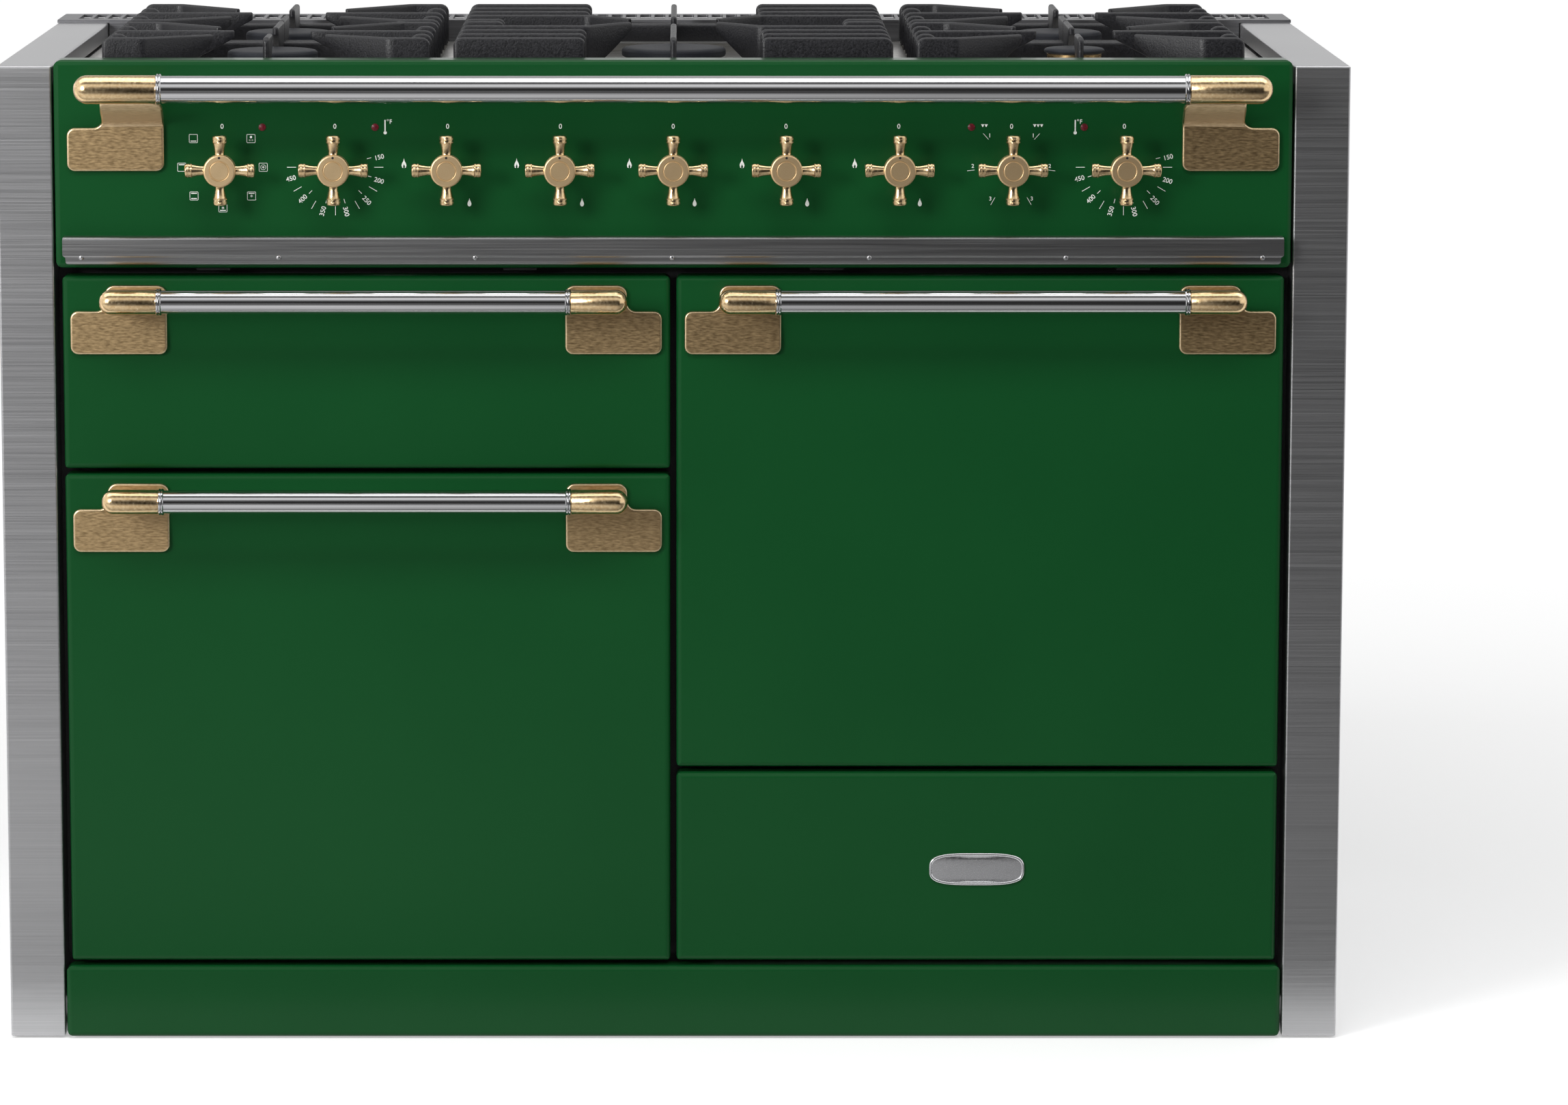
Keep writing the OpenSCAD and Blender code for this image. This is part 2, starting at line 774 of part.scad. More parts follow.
module rear_vent() {
    w = overall_w;
    t = 3;
    slot_w = 10.8;
    slot_pitch = 14.2;
    slot_l = 60;
    slots = floor((w - 30) / slot_pitch);
    color(steel) {
        at(0, vent_at, hob_h) linear_extrude(t) difference() {
            translate([-w / 2, 0]) square([w, vent_d]);
            for (i = [0:slots - 1]) {
                translate([(i - (slots - 1) / 2) * slot_pitch, vent_d / 2 + 4]) round_rect(slot_w, slot_l, 2);
            }
        }
        // Front drop wall down to the tray
        slab(-inner_w / 2 + 1, vent_at, tray_z - 2, inner_w - 2, sheet, hob_h - tray_z + 2);
    }
}

module burner_bodies() {
    color([0.70, 0.68, 0.62]) for (b = burners) {
        r = b[2] / 2;
        top = tray_z + b[3] - b[4] - well_z;
        at(b[0], b[1], well_z) difference() {
            union() {
                cylinder(h = 3, r = r - 6);
                cylinder(h = top, r = r - 9);
                translate([0, 0, top - 5]) cylinder(h = 5, r1 = r - 9, r2 = r - 3.2);
                translate([0, 0, -14]) cylinder(h = 14, r = r - 14);
            }
            translate([0, 0, 4]) cylinder(h = top, r = r - 14);
            // Mixing tube
            translate([0, 0, -14 - eps]) cylinder(h = 20, r = 9);
        }
        // Spark electrode
        beside = (r + 5) / sqrt(2);
        at(b[0] + beside, b[1] + beside, well_z) {
            cylinder(h = 10, r = 3.5);
            cylinder(h = 15, r = 1);
        }
    }
}

module burner_caps() {
    color(iron) for (b = burners) {
        r = b[2] / 2;
        t = b[4];
        at(b[0], b[1], tray_z + b[3] - t) rotate_extrude() polygon([
            [0, 0], [r - 2, 0], [r - 0.5, 1], [r, 2.4], [r, t - 3.2], [r - 0.6, t - 1.8], [r - 2, t - 0.8], [r - 5, t - 0.2],
            [r - 10, t], [0, t]]);
    }
}

// ---------- pan supports ----------

tip_h = 7;
fin_corner = 7;
bead_up = 0.2;
bead_r = fin_t / 2 + 0.5;
in_bead = 0.8;

// Side view of a fin along +X: it starts with a round upper corner and can end in a tapered tip
module fin_profile(l, taper, outer_round) {
    h = support_top - support_z - bead_up;
    start = outer_round > 0
        ? [for (a = [0:15:90]) [outer_round * (1 - sin(a)), h - outer_round * (1 - cos(a))]]
        : [[0, h]];
    end = taper > 0 ? [[l - taper, 0], [l, h - tip_h], [l, h]] : [[l, 0], [l, h]];
    polygon(concat([[0, 0]], end, start));
}

// Upright fin from one place to another, in plan; it stops a little short inside the bead at a bend
module fin(from, to, taper, outer_round = 0, skip = 0, stop = 0) {
    step = to - from;
    translate([from[0], from[1], support_z]) rotate([0, 0, atan2(step[1], step[0])])
        translate([skip, fin_t / 2, 0]) rotate([90, 0, 0]) linear_extrude(fin_t)
            fin_profile(norm(step) - skip - stop, taper, outer_round);
}

// Slightly swollen upright bead at a fin's bend
module bend_bead(place) {
    translate([place[0], place[1], support_z]) cylinder(h = support_top - support_z, r = bead_r);
}

// Bead at a fin's tip
module tip_bead(place) {
    translate([place[0], place[1], support_top - tip_h - 0.6]) cylinder(h = tip_h + 0.6, r = bead_r);
}

// One side of a burner: two bent fins and a straight one, with short tabs between them
module fin_group(half_w, rows, burner_at, tip_x, tip_y) {
    straight = 37;
    for (k = [0, 2]) {
        bend = [half_w - straight, rows[k]];
        tip = [tip_x, burner_at + (k - 1) * tip_y];
        fin([half_w, rows[k]], bend, 0, fin_corner, 0, in_bead);
        bend_bead(bend);
        fin(bend, tip, 42, 0, in_bead);
        tip_bead(tip);
    }
    fin([half_w, rows[1]], [tip_x - 17, rows[1]], 60, fin_corner);
    tip_bead([tip_x - 17, rows[1]]);
    for (tab = [(rows[0] + rows[1]) / 2, (rows[1] + rows[2]) / 2]) {
        short_tab(half_w, tab);
    }
}

module short_tab(half_w, row) {
    tab_l = 20;
    h = support_top - support_z - bead_up;
    translate([half_w - tab_l, row + fin_t / 2, support_z]) rotate([90, 0, 0]) linear_extrude(fin_t) {
        square([tab_l, h - 8]);
        translate([8, h - 8]) circle(8);
        translate([tab_l - 8, h - 8]) circle(8);
        translate([8, 0]) square([tab_l - 16, h]);
    }
}

// Narrow blade along the depth, rising from a rail at one place to a tip over the burner's edge
module blade(from, to) {
    fin([0, from], [0, to], 45, 4);
    tip_bead([0, to]);
}

module support_rails(half_w) {
    rail_t = 8;
    h = rail_top - support_z;
    for (row = [first_row, last_row]) {
        translate([-half_w + 3, row - rail_t / 2, support_z]) cube([2 * half_w - 6, rail_t, h]);
    }
    for (x = [-1, 1]) {
        translate([x * (half_w - 7) - rail_t / 2, first_row, support_z]) cube([rail_t, last_row - first_row, h - 4]);
    }
    for (x = [-1, 1], row = [first_row, last_row]) {
        translate([x * (half_w - 7), row, tray_z]) cylinder(h = foot_h + 2, r = 6);
    }
}

module side_support() {
    half_w = side_support_w / 2;
    split = 17;
    tip_x = 52;
    tip_y = 50;
    near = 40;
    rows = [[first_row, burner_front, middle_row - split], [middle_row + split, burner_back, last_row]];
    support_rails(half_w);
    translate([-half_w + 3, middle_row - 4, support_z]) cube([2 * half_w - 6, 8, rail_top - support_z]);
    both_sides() for (k = [0, 1]) {
        fin_group(half_w, rows[k], rows[k][1], tip_x, tip_y);
    }
    blade(first_row - 4, burner_front - near);
    blade(middle_row, burner_front + near);
    blade(middle_row, burner_back - near);
    blade(last_row + 4, burner_back + near);
}

module centre_support() {
    half_w = centre_support_w / 2;
    pitch = (burner_middle - first_row - 71) / 3;
    bank_end = 80;
    short_end = half_w - 40;
    tip_x = 41;
    tip_y = 22;
    fronts = [for (k = [0:3]) first_row + k * pitch];
    support_rails(half_w);
    both_sides() {
        for (row = fronts, side = [-1, 1]) {
            y = burner_middle + side * (row - burner_middle);
            fin([half_w, y], [bank_end, y], 0, fin_corner, 0, in_bead);
            bend_bead([bank_end, y]);
        }
        for (side = [-1, 1]) {
            y = burner_middle + side * 15;
            fin([half_w, y], [short_end, y], 0, fin_corner, 0, in_bead);
            bend_bead([short_end, y]);
            // Bent fingers towards the middle burner
            fin([bank_end, burner_middle + side * (fronts[3] - burner_middle)],
                [tip_x, burner_middle - side * tip_y], 50, 0, in_bead);
            tip_bead([tip_x, burner_middle - side * tip_y]);
        }
        // Inner bearer under the fins
        translate([bank_end + 18, first_row, support_z]) cube([8, last_row - first_row, rail_top - support_z - 4]);
    }
    blade(first_row - 4, burner_middle - 46);
    blade(last_row + 4, burner_middle + 46);
}

module left_pan_support() {
    color(iron) at(-side_support_x, 0, 0) side_support();
}

module centre_pan_support() {
    color(iron) at(0, 0, 0) centre_support();
}

module right_pan_support() {
    color(iron) at(side_support_x, 0, 0) side_support();
}

// ---------- rail and handles ----------

// End cap along +X with its rounded outer end at x = 0
module end_cap(l, r) {
    round = r - 1;
    rotate([0, 90, 0]) rotate_extrude() polygon(concat(
        [[0, 0]], [for (a = [0:10:90]) [r - round + round * sin(a), round - round * cos(a)]],
        [[r, l], [0, l]]));
}

// Double-beaded collar along +X
module collar(l, r) {
    rotate([0, 90, 0]) rotate_extrude() polygon([
        [0, 0], [r - 1, 0], [r, 0.8], [r, l / 2 - 0.6], [r - 0.9, l / 2],
        [r, l / 2 + 0.6], [r, l - 0.8], [r - 1, l], [0, l]]);
}

rail_end = panel_w / 2 - 23.3;
collar_l = 5;
rail_z = panel_z + rail_up;

module rail_bar() {
    bar_l = 2 * (rail_end - rail_cap_l - collar_l);
    color(steel) bar_x(0, -rail_out, rail_z, bar_l, rail_dia / 2);
    color(chrome) both_sides()
        at(-rail_end + rail_cap_l, -rail_out, rail_z) collar(collar_l, rail_collar_dia / 2);
}

module rail_brackets() {
    plate_z = panel_z + 87.8;
    plate_top = plate_z + 39;
    neck_x = -rail_end + 20.5;
    t = 9;
    reach = rail_out - proud - rail_dia / 2 + 3;
    rise = rail_z - plate_top;
    color(brass) both_sides() {
        at(-rail_end, -rail_out, rail_z) end_cap(rail_cap_l, rail_dia / 2 + 0.5);
        at(-rail_end - 11.2 + plate_w / 2, skin - plate_t, plate_z)
            soft_block(plate_w, plate_t, 39, 1.5, 7);
        // Swan neck: up the panel, round a hollow curve and forward into the cap
        intersection() {
            at(neck_x, skin, plate_top - 12) rotate([90, 0, 90]) linear_extrude(neck_w - 8) difference() {
                union() {
                    translate([-plate_t, 0]) square([plate_t, rise]);
                    translate([-reach - 8, rise - 9]) square([reach + 8, 20]);
                }
                // Hollow underneath
                translate([-reach + 6, rise - 34]) circle(r = 31, $fn = 96);
                // Rounded top towards the panel
                difference() {
                    translate([-12, rise - 1]) square([20, 20]);
                    translate([-12, rise - 1]) circle(12);
                }
            }
            at(neck_x + (neck_w - 8) / 2, skin - 80, plate_top - 12) linear_extrude(60)
                translate([0, 40]) round_rect(neck_w - 8, 85, 3);
        }
    }
}

handle_collar_r = bar_dia / 2 + 1.5;
plate_inset = 7.4;
cap_inset = 37.8;
half_bar = door_w / 2 - cap_inset;

module handle_bar(x, top) {
    bar_l = 2 * (half_bar - cap_l - collar_l);
    translate([x, 0, 0]) {
        color(steel) bar_x(0, skin - bar_out, top - bar_down, bar_l, bar_dia / 2);
        color(chrome) both_sides()
            at(-half_bar + cap_l, skin - bar_out, top - bar_down) collar(collar_l, handle_collar_r);
    }
}

module handle_brackets(x, top) {
    cap_r = bar_dia / 2 + 0.5;
    plate_low = 70.5;
    neck_top = 8;
    bar_z = top - bar_down;
    arm_t = 11;
    arm_w = cap_l - 6;
    fillet = 8;
    outer = -door_w / 2 + plate_inset;
    inner = outer + plate_w;
    color(brass) translate([x, 0, 0]) both_sides() {
        at(-half_bar, skin - bar_out, bar_z) end_cap(cap_l, cap_r);
        // Plate
        at(outer + plate_w / 2, skin - plate_t, top - plate_low)
            soft_block(plate_w, plate_t, plate_h, 1.5, 7);
        // Neck, with its outer lower corner filleted into the plate
        at(inner - neck_w / 2, skin - plate_t, top - plate_low + plate_h / 2)
            soft_block(neck_w, plate_t, plate_low - plate_h / 2 - neck_top, 1.5, 9);
        at(inner - neck_w, skin, top - plate_low + plate_h) rotate([90, 0, 0])
            linear_extrude(plate_t - 1) difference() {
                translate([-fillet, -1]) square([fillet + 1, fillet + 1]);
                translate([-fillet, fillet]) circle(fillet);
            }
        // Arm forward to the cap
        at(-half_bar + 3, skin, bar_z + cap_r) rotate([90, 0, 90]) linear_extrude(arm_w) difference() {
            translate([-bar_out, -arm_t]) square([bar_out, arm_t]);
            translate([-bar_out / 2 - 1, -arm_t - 22]) circle(r = 26, $fn = 96);
        }
    }
}

// ---------- doors ----------

// Outer skin of an oven door, notched at the bottom for the hinge lugs
module door_panel(x, z) {
    notch_w = lug_w + 4;
    color(enamel) difference() {
        at(x, skin, z) folded_tray(door_w, front_d, oven_door_h, edge_r, edge_r);
        for (side = [-1, 1]) {
            slab(x + side * hinge_x - notch_w / 2, hinge_depth - 8, z - eps, notch_w, front_d, 4);
        }
    }
}

// Inner panel of an oven door, with its hinge ears and pins
module door_liner(x, z) {
    back = front_d - proud;
    low = hinge_up + 10;
    w = door_w - 40;
    h = oven_door_h - low - 20;
    pin_l = lug_w + 2 * (ear_t + 0.5);
    color(dark_steel) {
        difference() {
            slab(x - w / 2, back, z + low, w, door_liner_d, h);
            slab(x - w / 2 + sheet, back - eps, z + low + sheet, w - 2 * sheet, door_liner_d + eps - sheet, h - 2 * sheet);
        }
        // Flange that meets the outer skin
        difference() {
            at(x, back, z + (oven_door_h + low - sheet) / 2) rotate([90, 0, 0]) linear_extrude(sheet)
                round_rect(door_w - 2 * sheet, oven_door_h - low - sheet, edge_r - sheet);
            slab(x - w / 2 + flange, back - 2 * sheet, z + low + flange, w - 2 * flange, 4 * sheet, h - 2 * flange);
        }
        for (side = [-1, 1]) {
            for (ear = [-1, 1]) {
                ear_x = x + side * hinge_x + ear * (lug_w / 2 + 0.5 + ear_t / 2) - ear_t / 2;
                at(ear_x, hinge_depth, z + hinge_up) rotate([90, 0, 90]) linear_extrude(ear_t) {
                    circle(8);
                    polygon([[-7, 3], [8, 0], [back - hinge_depth + door_liner_d - sheet, 12],
                        [back - hinge_depth + door_liner_d - sheet, 26], [back - hinge_depth, 26]]);
                }
            }
            bar_x(x + side * hinge_x, hinge_depth, z + hinge_up, pin_l, hinge_pin_dia / 2);
        }
    }
}

// ---------- ovens ----------

module oven_liner(x, z) {
    back = liner_at + cavity_d;
    ridge_in = 8;
    ridge_t = 3;
    color([0.10, 0.10, 0.12]) {
        difference() {
            union() {
                slab(x - cavity_w / 2 - sheet, liner_at, z - sheet, cavity_w + 2 * sheet, cavity_d + sheet, cavity_h + 2 * sheet);
                slab(x - cavity_w / 2 - flange, liner_at, z - flange, cavity_w + 2 * flange, sheet, cavity_h + 2 * flange);
            }
            slab(x - cavity_w / 2, liner_at - eps, z, cavity_w, cavity_d + eps, cavity_h);
            bar_y(x, back - eps, back + sheet + eps, z + cavity_h / 2, 8);
        }
        // Pressed shelf ridges
        for (k = [1:floor(cavity_h / level_pitch) - 1], side = [-1, 1]) {
            slab(x + side * (cavity_w / 2 - ridge_in / 2) - ridge_in / 2, liner_at + 20, z + k * level_pitch,
                ridge_in, cavity_d - 70, ridge_t);
        }
    }
}

module oven_shelves() {
    for (k = [1, 3]) {
        color(chrome) shelf(-column_x, left_door_z + cavity_up + k * level_pitch + 3);
        color(chrome) shelf(column_x, right_door_z + cavity_up + k * level_pitch + 3);
    }
}

// Wire shelf: a rectangle of rod with thinner wires across
module shelf(x, z) {
    rod = 3;
    wire = 1.8;
    wires = 11;
    w = cavity_w - 8 - 2 * rod;
    d = cavity_d - 90;
    from = liner_at + 25;
    for (side = [-1, 1]) {
        bar_y(x + side * w / 2, from, from + d, z + rod, rod);
    }
    for (depth = [from + rod, from + d - rod]) {
        bar_x(x, depth, z + rod, w, rod - 0.2);
    }
    for (i = [1:wires]) {
        bar_y(x - w / 2 + i * w / (wires + 1), from + rod, from + d - rod, z + rod, wire);
    }
}

cover_w = 240;
cover_d = 38;

module fan_covers() {
    color(dark_steel) {
        fan_cover(-column_x, left_door_z + cavity_up + cavity_h / 2);
        fan_cover(column_x, right_door_z + cavity_up + cavity_h / 2);
    }
}

// Tray screwed to the back of the oven, with an intake grille and side outlets
module fan_cover(x, z) {
    depth = liner_at + cavity_d - cover_d;
    slots = 16;
    difference() {
        at(x, depth + cover_d, z) rotate([90, 0, 0]) linear_extrude(cover_d) round_rect(cover_w, cover_w, 20);
        at(x, depth + cover_d + eps, z) rotate([90, 0, 0]) linear_extrude(cover_d + eps - sheet)
            round_rect(cover_w - 2 * sheet, cover_w - 2 * sheet, 20 - sheet);
        at(x, depth + sheet + eps, z) rotate([90, 0, 0]) linear_extrude(sheet + 2 * eps)
            for (i = [0:slots - 1]) {
                rotate(i * 360 / slots) translate([40, 0]) round_rect(36, 7, 3.4);
            }
        // Outlets through the side walls
        for (dz = [-60, 0, 60]) {
            slab(x - cover_w, depth + 14, z + dz - 18, 2 * cover_w, 12, 36);
        }
    }
}

// Radial fan wheel on its shaft
module fan(x, z) {
    r = fan_dia / 2;
    blades = 14;
    blade_in = 34;
    wheel = liner_at + cavity_d - 8;
    blade_d = 20;
    color(steel) {
        bar_y(x, wheel - 1.5, wheel, z, r);
        for (i = [0:blades - 1]) {
            at(x, wheel, z) rotate([90, 0, 0]) rotate(i * 360 / blades) translate([blade_in, -0.75, 1])
                cube([r - blade_in - 1, 1.5, blade_d]);
        }
        bar_y(x, wheel - 12, wheel, z, 9);
        bar_y(x, wheel - 1, liner_at + cavity_d + 46, z, spindle_dia / 2);
    }
}

module left_oven_fan() {
    fan(-column_x, left_door_z + cavity_up + cavity_h / 2);
}

module right_oven_fan() {
    fan(column_x, right_door_z + cavity_up + cavity_h / 2);
}

module fan_motors() {
    back = liner_at + cavity_d + sheet;
    color([0.55, 0.56, 0.58]) for (p = [[-column_x, left_door_z], [column_x, right_door_z]]) {
        z = p[1] + cavity_up + cavity_h / 2;
        difference() {
            union() {
                bar_y(p[0], back + 14, back + 54, z, 32);
                bar_y(p[0], back + 8, back + 16, z, 14);
                // Three legs to the oven back
                for (a = [90, 210, 330]) {
                    bar_y(p[0] + 26 * cos(a), back, back + 20, z + 26 * sin(a), 4);
                }
            }
            bar_y(p[0], back + 7, back + 48, z, spindle_dia / 2 + run_fit);
        }
    }
}

module oven_door_seals() {
    gap = 0.3;
    color([0.08, 0.08, 0.08]) for (p = [[-column_x, left_door_z], [column_x, right_door_z]]) {
        at(p[0], frame_at, p[1] + cavity_up + cavity_h / 2) rotate([90, 0, 0])
            linear_extrude(seal_gap - gap) difference() {
                round_rect(cavity_w + 2 * seal_w + 4, cavity_h + 2 * seal_w + 4, 14);
                round_rect(cavity_w + 4, cavity_h + 4, 8);
            }
    }
}

// ---------- broiler ----------

broiler_rail_z = broiler_z + 42;
chamber_d = 420;
runner_l = broiler_travel + 40;

// Heating elements: rod size, height, half length of a pass, and where each tail leaves at the back
element_r = 3.2;
element_z = broiler_z + slim_h - broiler_roof - 22;
element_half = 150;
first_bend = 36;
last_bend = 12;

module broiler_chamber() {
    z0 = broiler_z + broiler_floor;
    h = slim_h - broiler_floor - broiler_roof;
    wall = liner_at + chamber_d;
    color([0.30, 0.30, 0.32]) translate([-column_x, 0, 0]) {
        difference() {
            slab(-broiler_w / 2 - sheet, liner_at, z0 - sheet,
                broiler_w + 2 * sheet, chamber_d + sheet, h + 2 * sheet);
            slab(-broiler_w / 2, liner_at - eps, z0, broiler_w, chamber_d + eps, h);
            // Clearance holes for the element's tails
            for (bend = [first_bend, last_bend]) {
                bar_y(-element_half - bend, wall - eps, wall + sheet + eps, element_z, element_r + 0.3);
            }
        }
        both_sides()
            channel(broiler_w / 2, liner_at + 6, runner_l, broiler_rail_z,
                rail_half + 2 * slide_fit + channel_t, channel_in);
    }
}

module broiler_mid_runners() {
    color(steel) translate([-column_x, 0, 0]) both_sides()
        channel(broiler_w / 2 - channel_t - slide_fit, liner_at + 6, runner_l, broiler_rail_z,
            rail_half + slide_fit, channel_in - 1);
}

// Part of a ring of rod that lies flat, kept inside a block given by its corner and size
module rod_bend(x, depth, z, bend, r, corner, size) {
    intersection() {
        at(x, depth, z) rotate_extrude() translate([bend, 0]) circle(r);
        slab(corner[0], corner[1], z - 2 * r, size[0], size[1], 4 * r);
    }
}

module broiler_elements() {
    bend_size = element_r + 0.1;
    passes = 6;
    pitch = 46;
    turn = pitch / 2;
    from = liner_at + 110;
    end = liner_at + chamber_d + sheet + 12;
    last = from + (passes - 1) * pitch;
    color([0.25, 0.20, 0.18]) translate([-column_x, 0, 0]) {
        // The rod runs to and fro across the roof
        for (i = [0:passes - 1]) {
            bar_x(0, from + i * pitch, element_z, 2 * element_half, element_r);
        }
        for (i = [0:passes - 2]) {
            side = i % 2 == 0 ? 1 : -1;
            y = from + (i + 0.5) * pitch;
            corner = side > 0 ? element_half - 1 : -element_half - 2 * turn + 1;
            rod_bend(side * element_half, y, element_z, turn, bend_size,
                [corner, y - 2 * turn], [2 * turn, 4 * turn]);
        }
        // Both tails turn back and pass through the back wall
        element_tail(from, first_bend, bend_size, end);
        element_tail(last, last_bend, bend_size, end);
        // Hangers from the roof
        for (x = [-100, 100], i = [1, 4]) {
            slab(x - 4, from + i * pitch - 1, element_z,
                8, 2, broiler_z + slim_h - broiler_roof - element_z);
        }
    }
}

// Quarter turn off the end of a pass at a depth, and a straight tail to the back
module element_tail(depth, bend, size, end) {
    rod_bend(-element_half, depth + bend, element_z, bend, size,
        [-element_half - 2 * bend + 1, depth - bend], [2 * bend, 2 * bend + 1]);
    bar_y(-element_half - bend, depth + bend, end, element_z, element_r);
}

module broiler_front() {
    color(enamel) at(-column_x, skin, broiler_z) closed_front(door_w, front_d, slim_h, edge_r, edge_r);
}

module broiler_carriage() {
    back = front_d - proud;
    outer = broiler_w / 2 - 2 * channel_t - 2 * slide_fit;
    rail_w = 7;
    ledge = 16;
    color(steel) translate([-column_x, 0, 0]) {
        // Plate on the back of the broiler front
        slab(-outer, back, broiler_rail_z - rail_half, 2 * outer, 2, 2 * rail_half + 30);
        both_sides() {
            slab(outer - rail_w, back + 1, broiler_rail_z - rail_half, rail_w, runner_l, 2 * rail_half);
            slab(outer - rail_w - ledge, back + 1, broiler_rail_z - rail_half, ledge + 1, runner_l, 2);
        }
        slab(-outer + 2, back + runner_l - 12, broiler_rail_z - rail_half, 2 * outer - 4, 12, 2);
    }
}

module broiler_pan() {
    back = front_d - proud;
    outer = broiler_w / 2 - 2 * channel_t - 2 * slide_fit - 7;
    z = broiler_rail_z - rail_half + 2;
    w = 2 * outer - 2;
    d = runner_l - 30;
    depth = 18;
    lip = 15;
    wires = 13;
    rod_r = 2;
    from = back + 6;
    color([0.12, 0.12, 0.13]) translate([-column_x, 0, 0]) {
        difference() {
            union() {
                at(0, from + d / 2, z) linear_extrude(2) round_rect(w, d, 8);
                at(0, from + (d - lip) / 2, z - depth) linear_extrude(depth) round_rect(w - 2 * lip - 6, d - lip - 6, 14);
            }
            at(0, from + (d - lip) / 2, z - depth + sheet) linear_extrude(depth + 2)
                round_rect(w - 2 * lip - 6 - 2 * sheet, d - lip - 6 - 2 * sheet, 12);
        }
    }
    // Grid of rod standing on the pan's rim: two bearers with the wires welded across them
    bearer_x = w / 2 - 14;
    bearer_z = z + 2 + rod_r;
    color(chrome) translate([-column_x, 0, 0]) {
        for (side = [-1, 1]) {
            bar_y(side * bearer_x, from + 12, from + d - 26, bearer_z, rod_r);
        }
        for (i = [0:wires - 1]) {
            bar_x(0, from + 16 + i * (d - 46) / (wires - 1), bearer_z + 2 * rod_r + weld_gap / 2,
                2 * bearer_x + 3 * rod_r, rod_r);
        }
    }
}

// ---------- drawer ----------

module drawer_front() {
    color(enamel) at(column_x, skin, drawer_z) closed_front(door_w, front_d, slim_h, edge_r, edge_r);
}

module drawer_box() {
    back = front_d - proud;
    low = 14;
    h = 120;
    d = drawer_travel + 100;
    color([0.45, 0.46, 0.48]) translate([column_x, 0, 0]) {
        difference() {
            slab(-drawer_w / 2, back, drawer_z + low, drawer_w, d, h);
            slab(-drawer_w / 2 + sheet, back + sheet, drawer_z + low + sheet, drawer_w - 2 * sheet, d - 2 * sheet, h);
        }
        both_sides()
            slab(drawer_w / 2 - 0.5, back + 4, drawer_z + drawer_rail_z - rail_half,
                drawer_rail_w + 0.5, d - 8, 2 * rail_half);
    }
}

// ---------- the nodes ----------

left_side_panel();
right_side_panel();
back_panel();
base_frame();
plinth();
front_frame();
control_panel();
panel_trim();
hob_tray();
rear_vent();
rail_bar();
rail_brackets();
burner_bodies();
burner_caps();
gas_manifold();
oven_controls();
indicator_lamps();
oven_liner(-column_x, left_door_z + cavity_up);  // left_oven_liner
oven_liner(column_x, right_door_z + cavity_up);  // right_oven_liner
broiler_chamber();
oven_door_seals();
oven_shelves();
fan_covers();
broiler_elements();
fan_motors();
left_oven_fan();
right_oven_fan();
left_pan_support();
centre_pan_support();
right_pan_support();
for (i = [1:9]) knob(i);
for (i = [3:7]) tap_spindle(i);
door_panel(-column_x, left_door_z);  // left_door_panel
door_liner(-column_x, left_door_z);  // left_door_liner
handle_bar(-column_x, left_door_z + oven_door_h);  // left_door_handle_bar
handle_brackets(-column_x, left_door_z + oven_door_h);  // left_door_handle_brackets
door_panel(column_x, right_door_z);  // right_door_panel
door_liner(column_x, right_door_z);  // right_door_liner
handle_bar(column_x, right_door_z + oven_door_h);  // right_door_handle_bar
handle_brackets(column_x, right_door_z + oven_door_h);  // right_door_handle_brackets
broiler_front();
handle_bar(-column_x, broiler_z + slim_h);  // broiler_handle_bar
handle_brackets(-column_x, broiler_z + slim_h);  // broiler_handle_brackets
broiler_carriage();
broiler_pan();
broiler_mid_runners();
drawer_front();
drawer_box();
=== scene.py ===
"""Looks of a free-standing range cooker with cast iron pan supports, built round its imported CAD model."""

import math

import bpy
import numpy as np
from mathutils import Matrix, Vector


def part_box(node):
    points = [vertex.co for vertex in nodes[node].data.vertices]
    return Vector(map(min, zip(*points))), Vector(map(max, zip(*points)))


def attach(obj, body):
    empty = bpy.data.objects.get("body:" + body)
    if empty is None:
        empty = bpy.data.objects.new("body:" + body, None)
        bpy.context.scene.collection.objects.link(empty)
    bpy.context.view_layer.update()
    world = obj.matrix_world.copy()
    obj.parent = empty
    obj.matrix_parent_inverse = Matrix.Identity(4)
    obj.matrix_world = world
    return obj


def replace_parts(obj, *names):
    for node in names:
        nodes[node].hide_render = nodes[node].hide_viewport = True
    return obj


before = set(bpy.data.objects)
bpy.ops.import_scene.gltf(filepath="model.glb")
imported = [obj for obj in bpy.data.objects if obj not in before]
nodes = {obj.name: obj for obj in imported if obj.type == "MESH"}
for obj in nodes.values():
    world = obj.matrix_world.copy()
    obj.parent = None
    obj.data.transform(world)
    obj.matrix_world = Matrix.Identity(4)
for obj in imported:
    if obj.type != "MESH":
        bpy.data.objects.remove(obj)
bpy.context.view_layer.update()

MM = 0.001

# ---------- side panels and hob rim ----------
# Folded brushed stainless steel. The grain runs level round the pillars, from the front edge to the back.
# The panels are bent from one sheet each, so only the bend itself is bright.


def finish(name, metallic, roughness, specular=0.5, colour=(0.8, 0.8, 0.8)):
    """Material with a Principled shader whose plain sockets are set."""
    made = bpy.data.materials.new(name)
    made.use_nodes = True
    shader = made.node_tree.nodes["Principled BSDF"]
    for socket, value in (("Base Color", (*colour, 1)), ("Metallic", metallic), ("Roughness", roughness),
                          ("Specular IOR Level", specular)):
        shader.inputs[socket].default_value = value
    return made


def node(owner, kind, values=(), **settings):
    """New shader node of a material or world, with (input, value) pairs and settings of its own."""
    made = owner.node_tree.nodes.new("ShaderNode" + kind)
    for socket, value in values:
        made.inputs[socket].default_value = value
    for name, value in settings.items():
        setattr(made, name, value)
    return made


def join(owner, *pairs):
    """Links each (output, input) pair of sockets."""
    for source, target in pairs:
        owner.node_tree.links.new(source, target)


